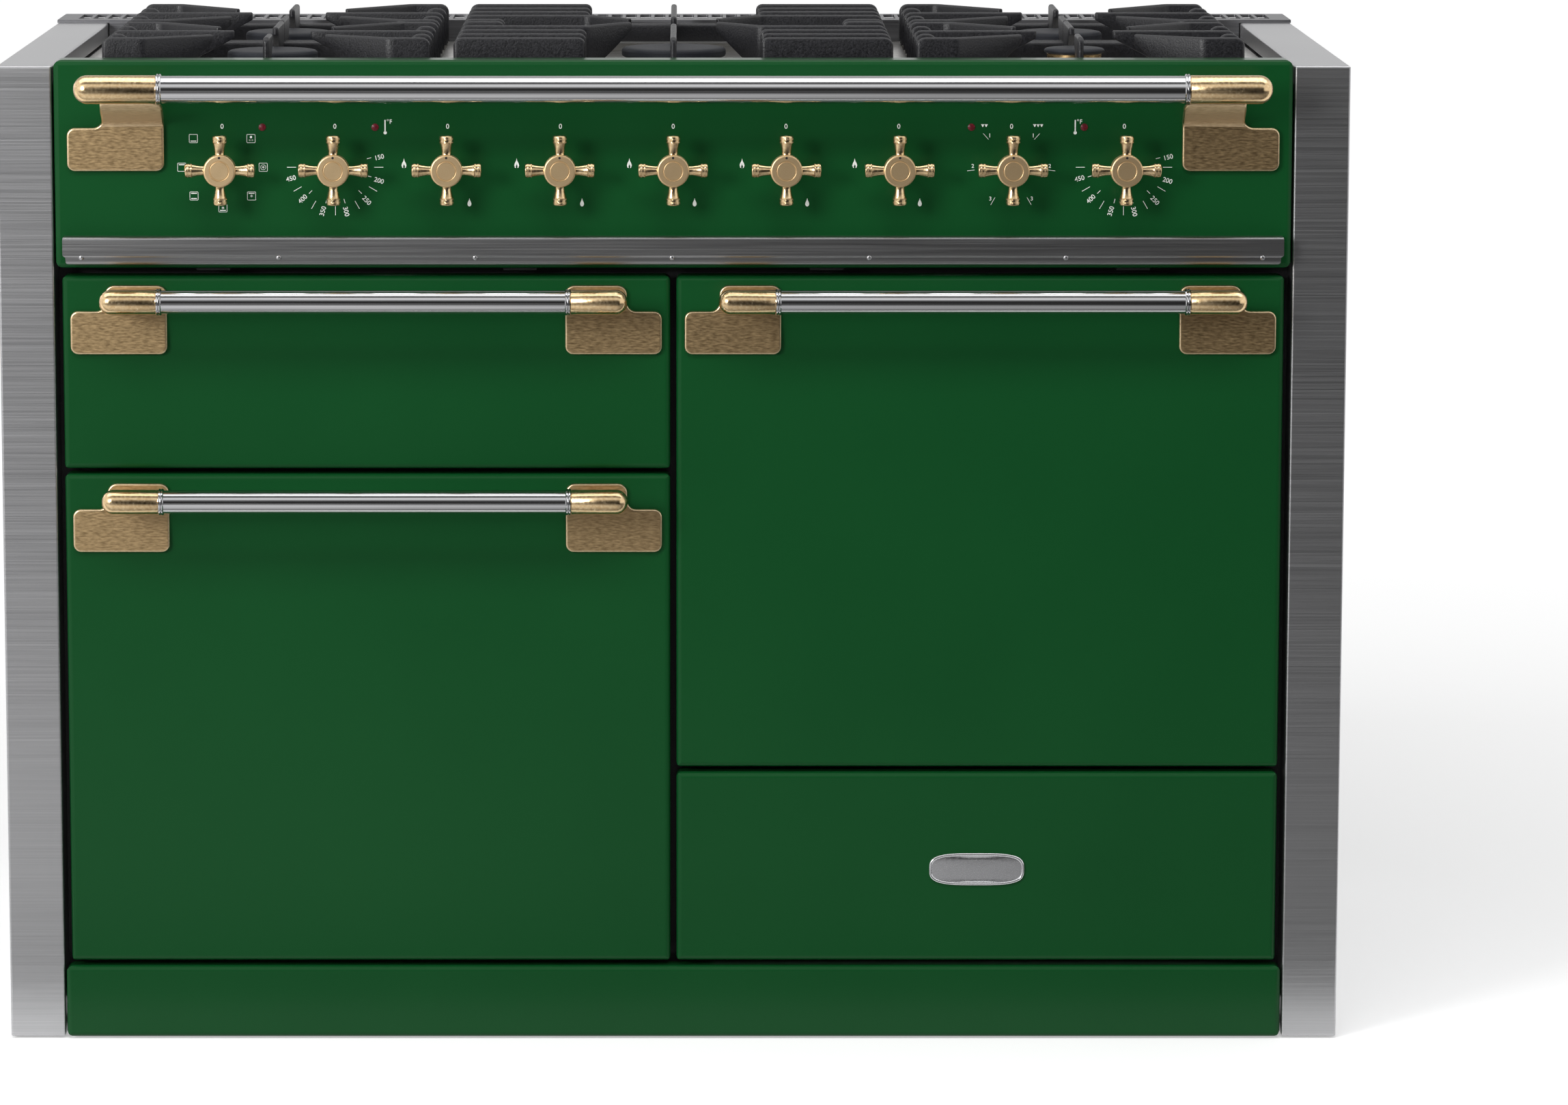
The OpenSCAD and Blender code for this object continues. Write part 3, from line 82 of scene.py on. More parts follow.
def grain(owner, stretch, detail=3.0):
    """Noise whose value at a point is 3-D noise at (x sx, y sy, z sz), with Object coordinates in metres.
    A plain number stretches all three alike."""
    place = node(owner, "TexCoord")
    mapping = node(owner, "Mapping", [("Scale", stretch if isinstance(stretch, tuple) else (stretch,) * 3)])
    noise = node(owner, "TexNoise", [("Scale", 1.0), ("Detail", detail)])
    join(owner, (place.outputs["Object"], mapping.inputs["Vector"]),
         (mapping.outputs["Vector"], noise.inputs["Vector"]))
    return noise.outputs["Fac"]


def tint(owner, value, dark, light, ends=(0.3, 0.7)):
    """Base colour that runs from dark to light as value runs between the ends."""
    ramp = node(owner, "ValToRGB")
    for stop, end, colour in zip(ramp.color_ramp.elements, ends, (dark, light)):
        stop.position = end
        stop.color = (*colour, 1)
    shader = owner.node_tree.nodes["Principled BSDF"]
    join(owner, (value, ramp.inputs["Fac"]), (ramp.outputs["Color"], shader.inputs["Base Color"]))


def roughen(owner, value, low, high):
    """Roughness that runs from low to high as value runs from 0.25 to 0.75."""
    spread = node(owner, "MapRange",
                  [("From Min", 0.25), ("From Max", 0.75), ("To Min", low), ("To Max", high)])
    shader = owner.node_tree.nodes["Principled BSDF"]
    join(owner, (value, spread.inputs["Value"]), (spread.outputs["Result"], shader.inputs["Roughness"]))


def emboss(owner, value, depth, strength=1.0):
    """Bump of the given depth in metres, added to whatever bump the shader already has."""
    bump = node(owner, "Bump", [("Distance", depth), ("Strength", strength)])
    normal = owner.node_tree.nodes["Principled BSDF"].inputs["Normal"]
    if normal.links:
        join(owner, (normal.links[0].from_socket, bump.inputs["Normal"]))
    join(owner, (value, bump.inputs["Height"]), (bump.outputs["Normal"], normal))


def grained(name, stretch, detail, dark, light, metallic, rough, specular=0.5, bump=0.0, strength=1.0):
    """Material whose tone follows one noise, which also drives a bump of the given depth in metres, and the
    roughness too where rough is a pair of ends."""
    made = finish(name, metallic, float(np.mean(rough)), specular)
    noise = grain(made, stretch, detail)
    tint(made, noise, dark, light)
    if isinstance(rough, tuple):
        roughen(made, noise, *rough)
    if bump:
        emboss(made, noise, bump, strength)
    return made


def brushed(name, stretch, dark, light, rough):
    """Brushed metal: fine stretched noise drives its tone, its roughness and a shallow bump."""
    return grained(name, stretch, 3, dark, light, 1.0, (rough * 0.85, rough * 1.2), bump=0.02 * MM,
                   strength=0.5)


def wear(material, *names):
    """Puts the material on CAD nodes."""
    for name in names:
        for place in nodes[name].material_slots:
            place.material = material


wear(brushed("panel_steel", (6, 6, 2200), (0.43, 0.43, 0.44), (0.50, 0.50, 0.51), 0.36), "left_side_panel",
     "right_side_panel")

# ---------- back panel, frame and plinth carrier ----------
# The back is zinc-coated sheet with its crystal pattern, held by small dome screws.
# The base frame and the facia frame are folded steel, painted satin black.


def crystals(owner, scale):
    """Voronoi cells, scale of them to a metre, with Object coordinates."""
    made = node(owner, "TexVoronoi", [("Scale", scale)])
    join(owner, (node(owner, "TexCoord").outputs["Object"], made.inputs["Vector"]))
    return made


zinc = finish("zinc_sheet", 0.85, 0.45)
split = node(zinc, "SeparateColor")
join(zinc, (crystals(zinc, 110).outputs["Color"], split.inputs["Color"]))
tint(zinc, split.outputs["Red"], (0.40, 0.41, 0.42), (0.56, 0.57, 0.58))
roughen(zinc, split.outputs["Green"], 0.34, 0.52)
wear(zinc, "back_panel", "broiler_chamber", "broiler_carriage", "broiler_mid_runners", "drawer_box",
     "fan_motors")

black_paint = grained("black_paint", 900, 2, (0.016, 0.016, 0.018), (0.030, 0.030, 0.032), 0.0, (0.38, 0.55),
                      bump=0.03 * MM)
wear(black_paint, "base_frame", "front_frame")


def quads(rows, columns, wrap=False):
    """Corner numbers of each cell of a grid of rows by columns; wrap joins the last column to the first."""
    r = np.arange(rows - 1)[:, None] * columns
    c = np.arange(columns if wrap else columns - 1)[None]
    n = (c + 1) % columns
    return np.stack([r + c, r + n, r + columns + n, r + columns + c], -1).reshape(-1, 4)


def linked(name, data):
    """New object with the data, in the scene's collection."""
    made = bpy.data.objects.new(name, data)
    bpy.context.scene.collection.objects.link(made)
    return made


def piece(name, surfaces, materials, body, crease=35, shell=True):
    """One object from grid surfaces, each (points, cells, material number or numbers, optional values).
    Equal points of a surface are merged, which closes its seams and poles, and a closed surface whose
    signed volume, the sum of a.(b x c)/6 over its triangles, is below zero is turned outwards."""
    all_points, all_faces, all_index, all_values, start = [], [], [], [], 0
    for surface in surfaces:
        points, cells = surface[0].reshape(-1, 3), surface[1]
        index = np.broadcast_to(surface[2], len(cells))
        values = surface[3].reshape(-1) if len(surface) > 3 else np.zeros(len(points))
        _, first, place = np.unique(np.round(points, 7), axis=0, return_index=True, return_inverse=True)
        points, values, cells = points[first], values[first], place.reshape(-1)[cells]
        faces = np.concatenate([cells[:, (0, 1, 2)], cells[:, (0, 2, 3)]])
        whole = (faces != np.roll(faces, 1, axis=1)).all(1)
        faces = faces[whole]
        a, b, c = (points[faces[:, k]] for k in range(3))
        if shell and np.einsum("ij,ij->", a, np.cross(b, c)) < 0:
            faces = faces[:, ::-1]
        all_points.append(points)
        all_values.append(values)
        all_faces.append(faces + start)
        all_index.append(np.concatenate([index, index])[whole])
        start += len(points)
    mesh = bpy.data.meshes.new(name)
    mesh.from_pydata(np.concatenate(all_points).tolist(), [], np.concatenate(all_faces).tolist())
    for material in materials if isinstance(materials, (list, tuple)) else [materials]:
        mesh.materials.append(material)
    mesh.polygons.foreach_set("material_index", np.concatenate(all_index).astype(np.int32))
    mesh.polygons.foreach_set("use_smooth", np.ones(len(mesh.polygons), bool))
    mesh.set_sharp_from_angle(angle=math.radians(crease))
    along = mesh.attributes.new("along", "FLOAT", "POINT")
    along.data.foreach_set("value", np.concatenate(all_values).astype(np.float32))
    mesh.update()
    made = linked(name, mesh)
    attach(made, body)
    return made


def turned(profile, centre, axis, around=48, index=0, swell=None):
    """Turned part: a profile of (radius, height) pairs carried round an axis through centre.
    Point = centre + axis h + (side cos t + other sin t) r, and swell adds to r at each (height, turn)."""
    axis = np.array(axis, float) / np.linalg.norm(axis)
    side = np.cross(axis, (0, 1, 0) if abs(axis[1]) < 0.9 else (1, 0, 0))
    side /= np.linalg.norm(side)
    other = np.cross(axis, side)
    profile = np.array(profile, float)
    t = np.linspace(0, 2 * math.pi, around, endpoint=False)
    r = profile[:, :1] + (np.zeros((1, around)) if swell is None else swell)
    ring = np.cos(t)[:, None] * side + np.sin(t)[:, None] * other
    points = np.array(centre) + profile[:, 1][:, None, None] * axis + r[..., None] * ring
    value = np.broadcast_to(profile[:, :1], r.shape)
    return points, quads(len(profile), around, True), index, value


def dome(radius, height, steps=5):
    """Quarter-round profile from the rim at height 0 up to the pole: r = R cos a, h = H sin a."""
    a = np.linspace(0, math.pi / 2, steps)
    return [(0, -0.5 * MM), (radius, -0.5 * MM)] + [(radius * math.cos(x), height * math.sin(x)) for x in a]


screw_steel = brushed("screw_steel", 500, (0.40, 0.40, 0.41), (0.60, 0.60, 0.61), 0.28)
sheet_y = 0.328
across = [x * MM for x in (-590, -420, -210, 0, 210, 420, 590)]
up = [z * MM for z in (45, 300, 620, 850)]
screws = [turned(dome(4 * MM, 2.2 * MM), (x, sheet_y, z), (0, 1, 0), 20) for x in across for z in up
          if z in (up[0], up[-1]) or x in (across[0], across[-1])]
piece("back_screws", screws, screw_steel, "root")

# ---------- enamelled fronts ----------
# Plinth, control panel, doors and drawer front are pressed steel with green vitreous enamel, fired on
# in two coats: a deep even gloss with a very faint orange peel and soft rounded edges.

enamel = grained("green_enamel", 5, 2, (0.0028, 0.051, 0.0115), (0.0034, 0.055, 0.0125), 0.0, 0.28, 0.16)
emboss(enamel, grain(enamel, 260, 2), 0.05 * MM, 0.35)
emboss(enamel, grain(enamel, 2400, 2), 0.01 * MM, 0.3)
wear(enamel, "plinth", "control_panel", "left_door_panel", "right_door_panel", "broiler_front",
     "drawer_front")

# ---------- hob tray and rear vent ----------
# The tray is pressed from one stainless sheet, brushed along its width, with a well round each burner.
# The vent strip behind it is folded steel with a row of stamped slots.

wear(brushed("tray_steel", (10, 900, 900), (0.42, 0.41, 0.39), (0.60, 0.59, 0.57), 0.30), "hob_tray")
wear(brushed("vent_steel", (12, 700, 700), (0.17, 0.17, 0.18), (0.25, 0.25, 0.26), 0.45), "rear_vent")

# ---------- painted shade under the vent ---
# A black sheet lies 1 mm under the vent slots and over the hollow behind the ovens.
# It is painted shade, so that the slots look dark from the front.

corners = np.array([(-0.602, 0.272), (0.602, 0.272), (0.602, 0.3538), (-0.602, 0.3538)])
levels = [(0, 0.8892), (1, 0.8892), (1, 0.8900), (0, 0.8900)]
painted_shade_sheet = np.array([[(x * grow, 0.311 + (y - 0.311) * grow, z) for x, y in corners] for grow, z in levels])
piece("vent_painted_shade", [(painted_shade_sheet.reshape(-1, 3), quads(4, 4, True), 0)], black_paint, "root", 30)

# ---------- burners ----------
# Each burner has a cast aluminium head with gas ports round its rim, an enamelled cast iron cap that lies
# on it, and a ceramic spark electrode beside it. The small front burner has a brass ring under its cap.

head_alloy = grained("burner_alloy", 700, 3, (0.30, 0.29, 0.27), (0.50, 0.48, 0.45), 0.9, 0.42,
                     bump=0.05 * MM)
ceramic = grained("white_ceramic", 200, 2, (0.70, 0.69, 0.65), (0.82, 0.81, 0.78), 0.0, 0.35)
cap_enamel = grained("cap_enamel", 1500, 3, (0.010, 0.011, 0.014), (0.021, 0.023, 0.029), 0.0,
                     (0.48, 0.66), 0.2, 0.04 * MM)
wear(cap_enamel, "burner_caps")

FRONT = -285.5
side_x, rows_y = 368.5, (155, 398, 291)
tray_z, well_z = 873, 865
# x, depth, cap diameter, cap top above the tray, cap thickness, all in millimetres
burners = [(-side_x, rows_y[0], 83, 21.5, 10), (-side_x, rows_y[1], 83, 21.5, 10), (0, rows_y[2], 98, 14, 9),
           (side_x, rows_y[1], 83, 21.5, 10), (side_x, rows_y[0], 56, 23.5, 5)]


def ported(radius, low, high, ports, centre, index):
    """Burner head: a turned cup whose upper rim is cut by ports; the radius drops 2 mm where
    cos(ports t) is above 0.35, over the upper part of the wall only."""
    wall = [(radius - 3.4, high - down) for down in (6.2, 6, 1.2, 1, 0)]
    levels = [(0, low), (radius - 9, low), (radius - 9, high - 7.5), *wall, (radius - 9, high), (0, high)]
    t = np.linspace(0, 2 * math.pi, ports * 8, endpoint=False)
    cut = np.where(np.cos(ports * t) > 0.35, -2.0, 0.0)
    drop = np.zeros((len(levels), len(t)))
    drop[4:6] = cut
    profile = np.array(levels, float) * MM
    return turned(profile, centre, (0, 0, 1), ports * 8, index, drop * MM)


heads = []
for x, depth, width, above, thick in burners:
    centre = (x * MM, (FRONT + depth) * MM, well_z * MM)
    r = width / 2
    top = tray_z + above - thick - well_z
    heads.append(ported(r, -14, top, 20 if width < 60 else 30, centre, 0))
    collar = [(0, 0), (r - 6, 0), (r - 5.4, 0.6), (r - 5.4, 2.4), (r - 6.4, 3), (0, 3)]
    heads.append(turned(np.array(collar) * MM, centre, (0, 0, 1), 64, 0))
    beside = (r + 5) / math.sqrt(2) * MM
    spark = (centre[0] + beside, centre[1] + beside, centre[2])
    post = [(0, 0), (4.2, 0), (4.2, 2), (3.3, 3), (3.3, 8), (2.4, 10.5), (0, 10.5)]
    heads.append(turned(np.array(post) * MM, spark, (0, 0, 1), 20, 1))
    pin = [(0, 9), (1, 9), (1, 14), (0.5, 15), (0, 15)]
    heads.append(turned(np.array(pin) * MM, spark, (0, 0, 1), 12, 0))
burner_heads = piece("burner_heads", heads, [head_alloy, ceramic], "root", 30)
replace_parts(burner_heads, "burner_bodies")

bright_brass = brushed("turned_brass", (60, 60, 1500), (0.62, 0.40, 0.17), (0.80, 0.56, 0.29), 0.26)
x, depth, width, above, thick = burners[4]
ring = [(18, -9), (24.2, -9), (25, -8.2), (25, -5.2), (24.3, -4.8), (25, -4.4), (25, -0.8), (24.4, 0),
        (18, 0), (18, -9)]
ring_base = (x * MM, (FRONT + depth) * MM, (tray_z + above - thick) * MM)
ring = turned(np.array(ring) * MM, ring_base, (0, 0, 1), 72)
piece("brass_burner_ring", [ring], bright_brass, "root")

# ---------- pan supports ----------
# Three gratings of sand-cast iron with matt black enamel, each a low frame that carries tall thin fins.
# The fins stand straight at the outside, bend towards the burner and end in a round tip above it.

iron = grained("cast_iron", 620, 4, (0.002, 0.002, 0.003), (0.009, 0.009, 0.012), 0.0, (0.34, 0.56), 0.55,
               0.25 * MM)
emboss(iron, grain(iron, 2600, 2), 0.03 * MM)

support_z, support_top, rail_top = 876.0, 912.0, 893.0
fin_half, tip_depth = 2.75, 7.0
first_row, last_row, middle_row = 65.0, 517.0, 283.0


def corner_path(places, ease=5.0):
    """Polyline with each inner corner swapped for a short parabola: (1-u)^2 a + 2u(1-u) corner + u^2 b."""
    places = np.array(places, float)
    path = [places[:1]]
    for before, corner, after in zip(places[:-2], places[1:-1], places[2:]):
        a = corner + (before - corner) / np.linalg.norm(before - corner) * ease
        b = corner + (after - corner) / np.linalg.norm(after - corner) * ease
        u = np.linspace(0, 1, 5)[:, None]
        path.append((1 - u) ** 2 * a + 2 * u * (1 - u) * corner + u**2 * b)
    path.append(places[-1:])
    return np.concatenate(path)


def cast_fin(places, high=support_top, half=fin_half, start_round=0.0, end_round=0.0, taper=0.0):
    """Upright fin along a path in plan, in millimetres. At distance s its half width is
    w sqrt(1 - (1 - e/w)^2) near either end e, its top drops by R - sqrt(R^2 - (R - e)^2) at a rounded
    corner, its foot rises over the taper by a power of the share run, and its edges are rounded by
    0.8 w above and 0.3 w below. At a bend it is 0.45 mm wider."""
    path = corner_path(places)
    run = np.concatenate([[0], np.cumsum(np.linalg.norm(np.diff(path, axis=0), axis=1))])
    length = run[-1]
    ends = half * (1 - np.cos(np.linspace(0, math.pi / 2, 5)))
    rounds = [r * (1 - np.cos(np.linspace(0, math.pi / 2, 6))) for r in (start_round, end_round)]
    inner = np.linspace(half, length - half, max(4, int(length / 9)))
    places_on_it = [ends, rounds[0], inner, run, length - rounds[1], length - ends]
    s = np.unique(np.round(np.concatenate(places_on_it), 3))
    s = s[(s >= 0) & (s <= length)]
    x, y = np.interp(s, run, path[:, 0]), np.interp(s, run, path[:, 1])
    tangent = np.stack([np.gradient(x, s), np.gradient(y, s)], -1)
    tangent /= np.linalg.norm(tangent, axis=1, keepdims=True)
    sideways = np.stack([-tangent[:, 1], tangent[:, 0]], -1)
    near = np.clip(np.minimum(s, length - s) / half, 0, 1)
    w = half * np.sqrt(np.clip(1 - (1 - near) ** 2, 1e-6, 1))
    for bend in run[3:-1:5] if len(places) > 2 else []:
        w = w + 0.45 * np.exp(-(((s - bend) / 3.0) ** 2))
    top = np.full(len(s), high)
    for r, e in ((start_round, s), (end_round, length - s)):
        if r > 0:
            top = top - (r - np.sqrt(np.clip(r**2 - np.clip(r - e, 0, r) ** 2, 0, None)))
    rise = np.clip((s - (length - taper)) / taper, 0, 1) if taper else np.zeros(len(s))
    foot = support_z + (high - tip_depth - support_z) * rise**1.15
    soft, under = 0.8 * w, np.minimum(0.3 * w, 0.8)
    a = np.linspace(0, math.pi / 2, 5)
    right_top = [(w - soft + soft * math.cos(t), top - soft + soft * math.sin(t)) for t in a]
    left_top = [(-(w - soft) - soft * math.sin(t), top - soft + soft * math.cos(t)) for t in a]
    b = np.linspace(0, math.pi / 2, 3)
    left_foot = [(-(w - under) - under * math.cos(t), foot + under - under * math.sin(t)) for t in b]
    right_foot = [((w - under) + under * math.sin(t), foot + under - under * math.cos(t)) for t in b]
    section = right_top + left_top + left_foot + right_foot
    across, height = (np.stack([place[k] for place in section], 1) for k in (0, 1))
    plan = [at[:, None] + sideways[:, k : k + 1] * across for k, at in enumerate((x, y))]
    points = np.stack([*plan, height], -1)
    return points, quads(len(s), len(section), True), 0


def placed(surfaces, x):
    """Surfaces in millimetres, in plan (x, depth), moved to the grating's own x and to metres."""
    return [((points + np.array((x, FRONT, 0))) * MM, cells, index) for points, cells, index in surfaces]


def mirrored(surfaces, x=0.0):
    """The surfaces and their mirror images across the upright plane at x."""
    across, shift = np.array((-1, 1, 1)), np.array((2 * x * MM, 0, 0))
    return surfaces + [(points * across + shift, *rest) for points, *rest in surfaces]


def grating_frame(half_w, inner_rails):
    """Low frame: two bars along the width, two along the depth, further bars, and four feet."""
    made = [cast_fin([(-half_w + 1, row), (half_w - 1, row)], rail_top, 4.2) for row in (first_row, last_row)]
    made += [cast_fin(bar, rail_top, 3.8) for bar in inner_rails]
    foot = np.array([(0, 0), (5, 0), (6, 1), (6, 5), (0, 5)], float)
    for x in (7 - half_w, half_w - 7):
        made.append(cast_fin([(x, first_row), (x, last_row)], rail_top - 4, 4))
        for row in (first_row, last_row):
            made.append(turned(foot, (x, row, tray_z), (0, 0, 1), 24)[:3])
    return made


def burner_fins(half_w, rows, burner):
    """Fins on one side of a burner: two bent ones, a straight one between them, and two short tabs."""
    made, straight, tip_x, tip_y = [], 37, 52, 50
    for k in (0, 2):
        path = [(half_w, rows[k]), (half_w - straight, rows[k]), (tip_x, burner + (k - 1) * tip_y)]
        made.append(cast_fin(path, start_round=8, taper=42, end_round=1.5))
    made.append(cast_fin([(half_w, rows[1]), (tip_x - 17, rows[1])], start_round=8, taper=60, end_round=1.5))
    for tab in ((rows[0] + rows[1]) / 2, (rows[1] + rows[2]) / 2):
        made.append(cast_fin([(half_w, tab), (half_w - 20, tab)], start_round=8, end_round=8))
    return made


def side_grating(x):
    """Grating over two burners, one behind the other."""
    half_w, split, near = 148.5, 17, 40
    front, back = rows_y[:2]
    rails = [[(3 - half_w, row), (half_w - 3, row)] for row in (middle_row - 9, middle_row + 9)]
    made = grating_frame(half_w, rails)
    for rows in ((first_row, front, middle_row - split), (middle_row + split, back, last_row)):
        made += mirrored(burner_fins(half_w, rows, rows[1]))
    for start, end in ((first_row - 3, front - near), (middle_row, front + near),
                       (middle_row, back - near), (last_row + 3, back + near)):
        made.append(cast_fin([(0, start), (0, end)], start_round=6, taper=30, end_round=2.5))
    return placed(made, x)


def centre_grating():
    """Grating over the middle burner: banks of level fins, and two fingers a side that reach over it."""
    half_w, bank_end, tip_x, tip_y = 199.0, 80, 41, 22
    burner = rows_y[2]
    pitch = (burner - first_row - 71) / 3
    steps = [first_row + k * pitch - burner for k in range(4)]
    half = []
    for side in (-1, 1):
        for step in steps[:3]:
            y = burner - side * step
            half.append(cast_fin([(half_w, y), (bank_end, y)], start_round=8, end_round=6))
        y = burner - side * steps[3]
        path = [(half_w, y), (bank_end, y), (tip_x, burner + side * tip_y)]
        half.append(cast_fin(path, start_round=8, taper=50, end_round=1.5))
        y = burner + side * 15
        half.append(cast_fin([(half_w, y), (half_w - 40, y)], start_round=8, end_round=6))
    half.append(cast_fin([(102, first_row), (102, last_row)], rail_top - 4, 4))
    made = grating_frame(half_w, []) + mirrored(half)
    for start, end in ((first_row - 3, burner - 46), (last_row + 3, burner + 46)):
        made.append(cast_fin([(0, start), (0, end)], start_round=6, taper=45, end_round=2.5))
    return placed(made, 0)


for side, x in (("left", -side_x), ("centre", 0), ("right", side_x)):
    surfaces = centre_grating() if side == "centre" else side_grating(x)
    grating = piece(f"{side}_grating", surfaces, iron, f"{side}_support", 50)
    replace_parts(grating, f"{side}_pan_support")

# ---------- printing on the control panel ----------
# White screen print fired onto the enamel: a nought over each knob, oven symbols round the function
# knob, degree scales round the thermostats, flames beside the gas taps and steps round the broiler knob.

print_white = grained("white_print", 900, 2, (0.62, 0.64, 0.60), (0.76, 0.78, 0.74), 0.0, 0.35, 0.4)

SKIN = FRONT - 3
FACE = SKIN - 0.08
knob_z, knob_pitch = 800.5, 101.0
lines = []


def flat(points):
    """Points of (x, z) in millimetres laid on the panel's face, in metres."""
    points = np.array(points, float)
    return np.stack([points[..., 0], np.full(points.shape[:-1], FACE), points[..., 1]], -1) * MM


def stroke(path, width=0.45):
    """Printed line: two rows of points, each path point moved by half the width along the path's normal."""
    path = np.array(path, float)
    step = np.gradient(path, axis=0)
    step /= np.linalg.norm(step, axis=1, keepdims=True)
    off = np.stack([-step[:, 1], step[:, 0]], -1) * width / 2
    lines.append((flat(np.stack([path + off, path - off])), quads(2, len(path)), 0))


def blob(outline, centre):
    """Printed solid shape: a fan of cells between its outline and one point."""
    outline = np.array(outline, float)
    middle = np.broadcast_to(np.array(centre, float), outline.shape)
    lines.append((flat(np.stack([outline, middle])), quads(2, len(outline), True), 0))


def disc(x, z, radius, steps=20):
    """Printed dot: x + r cos t, z + r sin t."""
    t = np.linspace(0, 2 * math.pi, steps, endpoint=False)
    blob(np.stack([x + radius * np.cos(t), z + radius * np.sin(t)], -1), (x, z))


def circle(x, z, radius, width=0.35):
    """Printed ring of a given line width."""
    t = np.linspace(0, 2 * math.pi, 25)
    stroke(np.stack([x + radius * np.cos(t), z + radius * np.sin(t)], -1), width)


def words(text, x, z, size, turn=0.0):
    """Figures from Blender's own sans face, centred on (x, z), size high and turned clockwise in degrees."""
    curve = bpy.data.curves.new("figures", "FONT")
    curve.body = text
    curve.size = size * MM / 0.72
    curve.align_x, curve.align_y = "CENTER", "CENTER"
    curve.offset = 0.05 * MM
    written = linked("figures", curve)
    bpy.context.view_layer.update()
    mesh = bpy.data.meshes.new_from_object(written.evaluated_get(bpy.context.evaluated_depsgraph_get()))
    mesh.calc_loop_triangles()
    points = np.zeros(len(mesh.vertices) * 3)
    mesh.vertices.foreach_get("co", points)
    points = points.reshape(-1, 3)[:, :2] / MM
    faces = np.zeros(len(mesh.loop_triangles) * 3, np.int32)
    mesh.loop_triangles.foreach_get("vertices", faces)
    faces = faces.reshape(-1, 3)
    points = points - (points.max(0) + points.min(0)) / 2
    a = math.radians(-turn)
    turned_points = points @ np.array([[math.cos(a), math.sin(a)], [-math.sin(a), math.cos(a)]])
    cells = np.concatenate([faces, faces[:, 2:]], 1)
    lines.append((flat(turned_points + np.array((x, z))), cells, 0))
    bpy.data.objects.remove(written)
    bpy.data.curves.remove(curve)
    bpy.data.meshes.remove(mesh)


def frame_symbol(x, z, kind):
    """Oven symbol: a square with round corners, and bars, a star or a fan inside it."""
    half = 3.7
    t = np.linspace(0, 2 * math.pi, 29)
    dx, dz = (np.clip(turn * half * 1.42, -half, half) for turn in (np.cos(t), np.sin(t)))
    stroke(np.stack([x + dx, z + dz], -1), 0.42)
    for bar, dz in (("top", 2.3), ("low", -2.3)):
        if bar in kind:
            stroke([(x - 2.6, z + dz), (x + 2.6, z + dz)], 0.8)
    if "star" in kind:
        for a in (0, 60, 120):
            dx, dz = 1.3 * math.cos(math.radians(a + 30)), 1.3 * math.sin(math.radians(a + 30))
            stroke([(x - dx, z - dz), (x + dx, z + dz)], 0.35)
    if "ring" in kind:
        circle(x, z, 2.3)
    if "drip" in kind:
        disc(x, z + 1.3, 1.1)
        for dx in (-1.5, 0, 1.5):
            stroke([(x + dx, z - 0.7), (x + dx, z - 2.2)], 0.4)


def knob_x(i):
    """Centre of a knob, counted from 1 at the left."""
    return (i - 5) * knob_pitch


def polar(i, angle, radius):
    """A place at an angle clockwise from the top of a knob."""
    a = math.radians(angle)
    return knob_x(i) + radius * math.sin(a), knob_z + radius * math.cos(a)


for i in range(1, 10):
    words("0", knob_x(i), knob_z + 36.8, 4.4)
for angle, kind in ((45, "drip"), (90, "ring star"), (135, "top star"), (180, "low star"), (225, "top low"),
                    (270, "top"), (315, "low")):
    frame_symbol(*polar(1, angle, 36.5), kind)
for i in (2, 9):
    for k, angle in enumerate(range(75, 271, 15)):
        numbered = k % 2 == 0
        inner, outer = (29.5, 33.5) if numbered else (35, 43.2)
        if angle < 270 or not numbered:
            stroke([polar(i, angle, inner), polar(i, angle, outer)], 0.5)
    for k, degrees in enumerate(range(150, 451, 50)):
        angle = 77 + 29.8 * k
        lean = angle - 90 if angle < 180 else angle - 270
        words(str(degrees), *polar(i, angle, 41), 4.3, lean)
    x = knob_x(i) + (45 if i == 2 else -44)
    stroke([(x, knob_z + 32), (x, knob_z + 42.5)], 1.1)
    disc(x, knob_z + 31, 1.5)
    words("F", x + 5.2, knob_z + 41, 3.9)
    circle(x + 2.4, knob_z + 42.3, 0.7, 0.3)
flame = [(0.5, 2.8), (1.7, 0.6), (2.2, -1.4), (1.6, -3.2), (0.6, -3.9), (0.9, -2.6), (0.3, -1.3)]
drop = [(0.5, 2.0), (1.4, 0.2), (1.8, -1.4), (1.4, -2.8), (0.5, -3.5)]
# right half of a sign, its top and low point, its place from the knob, and the height of its middle
signs = ((flame, 5.2, -0.9, -39.3, 3, 0.6), (drop, 3.9, -3.6, 19.2, -31.6, -1))
for i in range(3, 8):
    for half, top, low, dx, dz, middle in signs:
        x, z = knob_x(i) + dx, knob_z + dz
        outline = [(0, top), *half, (0, low), *[(-a, b) for a, b in half[::-1]]]
        blob([(x + a, z + b) for a, b in outline], (x, z + middle))
for x, count in ((-24.3, 2), (23.8, 3)):
    for k in range(count):
        cx, cz = knob_x(8) + x + (k - (count - 1) / 2) * 3.1, knob_z + 37.3
        blob([(cx - 1.5, cz + 1.3), (cx + 1.5, cz + 1.3), (cx, cz - 1.4)], (cx, cz + 0.3))
# figure, its place, and both ends of its line, for each step of the broiler knob
steps = (("1", 19.5, 28.6, (20.5, 25), (25.3, 30.3)), ("2", 34.5, 1.2, (33.0, -2.4), (39.5, -3.2)),
         ("3", 18.6, -28.2, (14.4, -27.2), (18.2, -33.8)))
for side in (-1, 1):
    for figure, dx, dz, *ends in steps:
        words(figure, knob_x(8) + side * dx, knob_z + dz, 3.6)
        stroke([(knob_x(8) + side * a, knob_z + b) for a, b in ends], 0.4)
piece("panel_print", lines, print_white, "root", 180, False)

wear(grained("lamp_lens", 700, 1, (0.05, 0.001, 0.004), (0.14, 0.002, 0.010), 0.0, 0.36, 0.35, 0.2 * MM),
     "indicator_lamps")

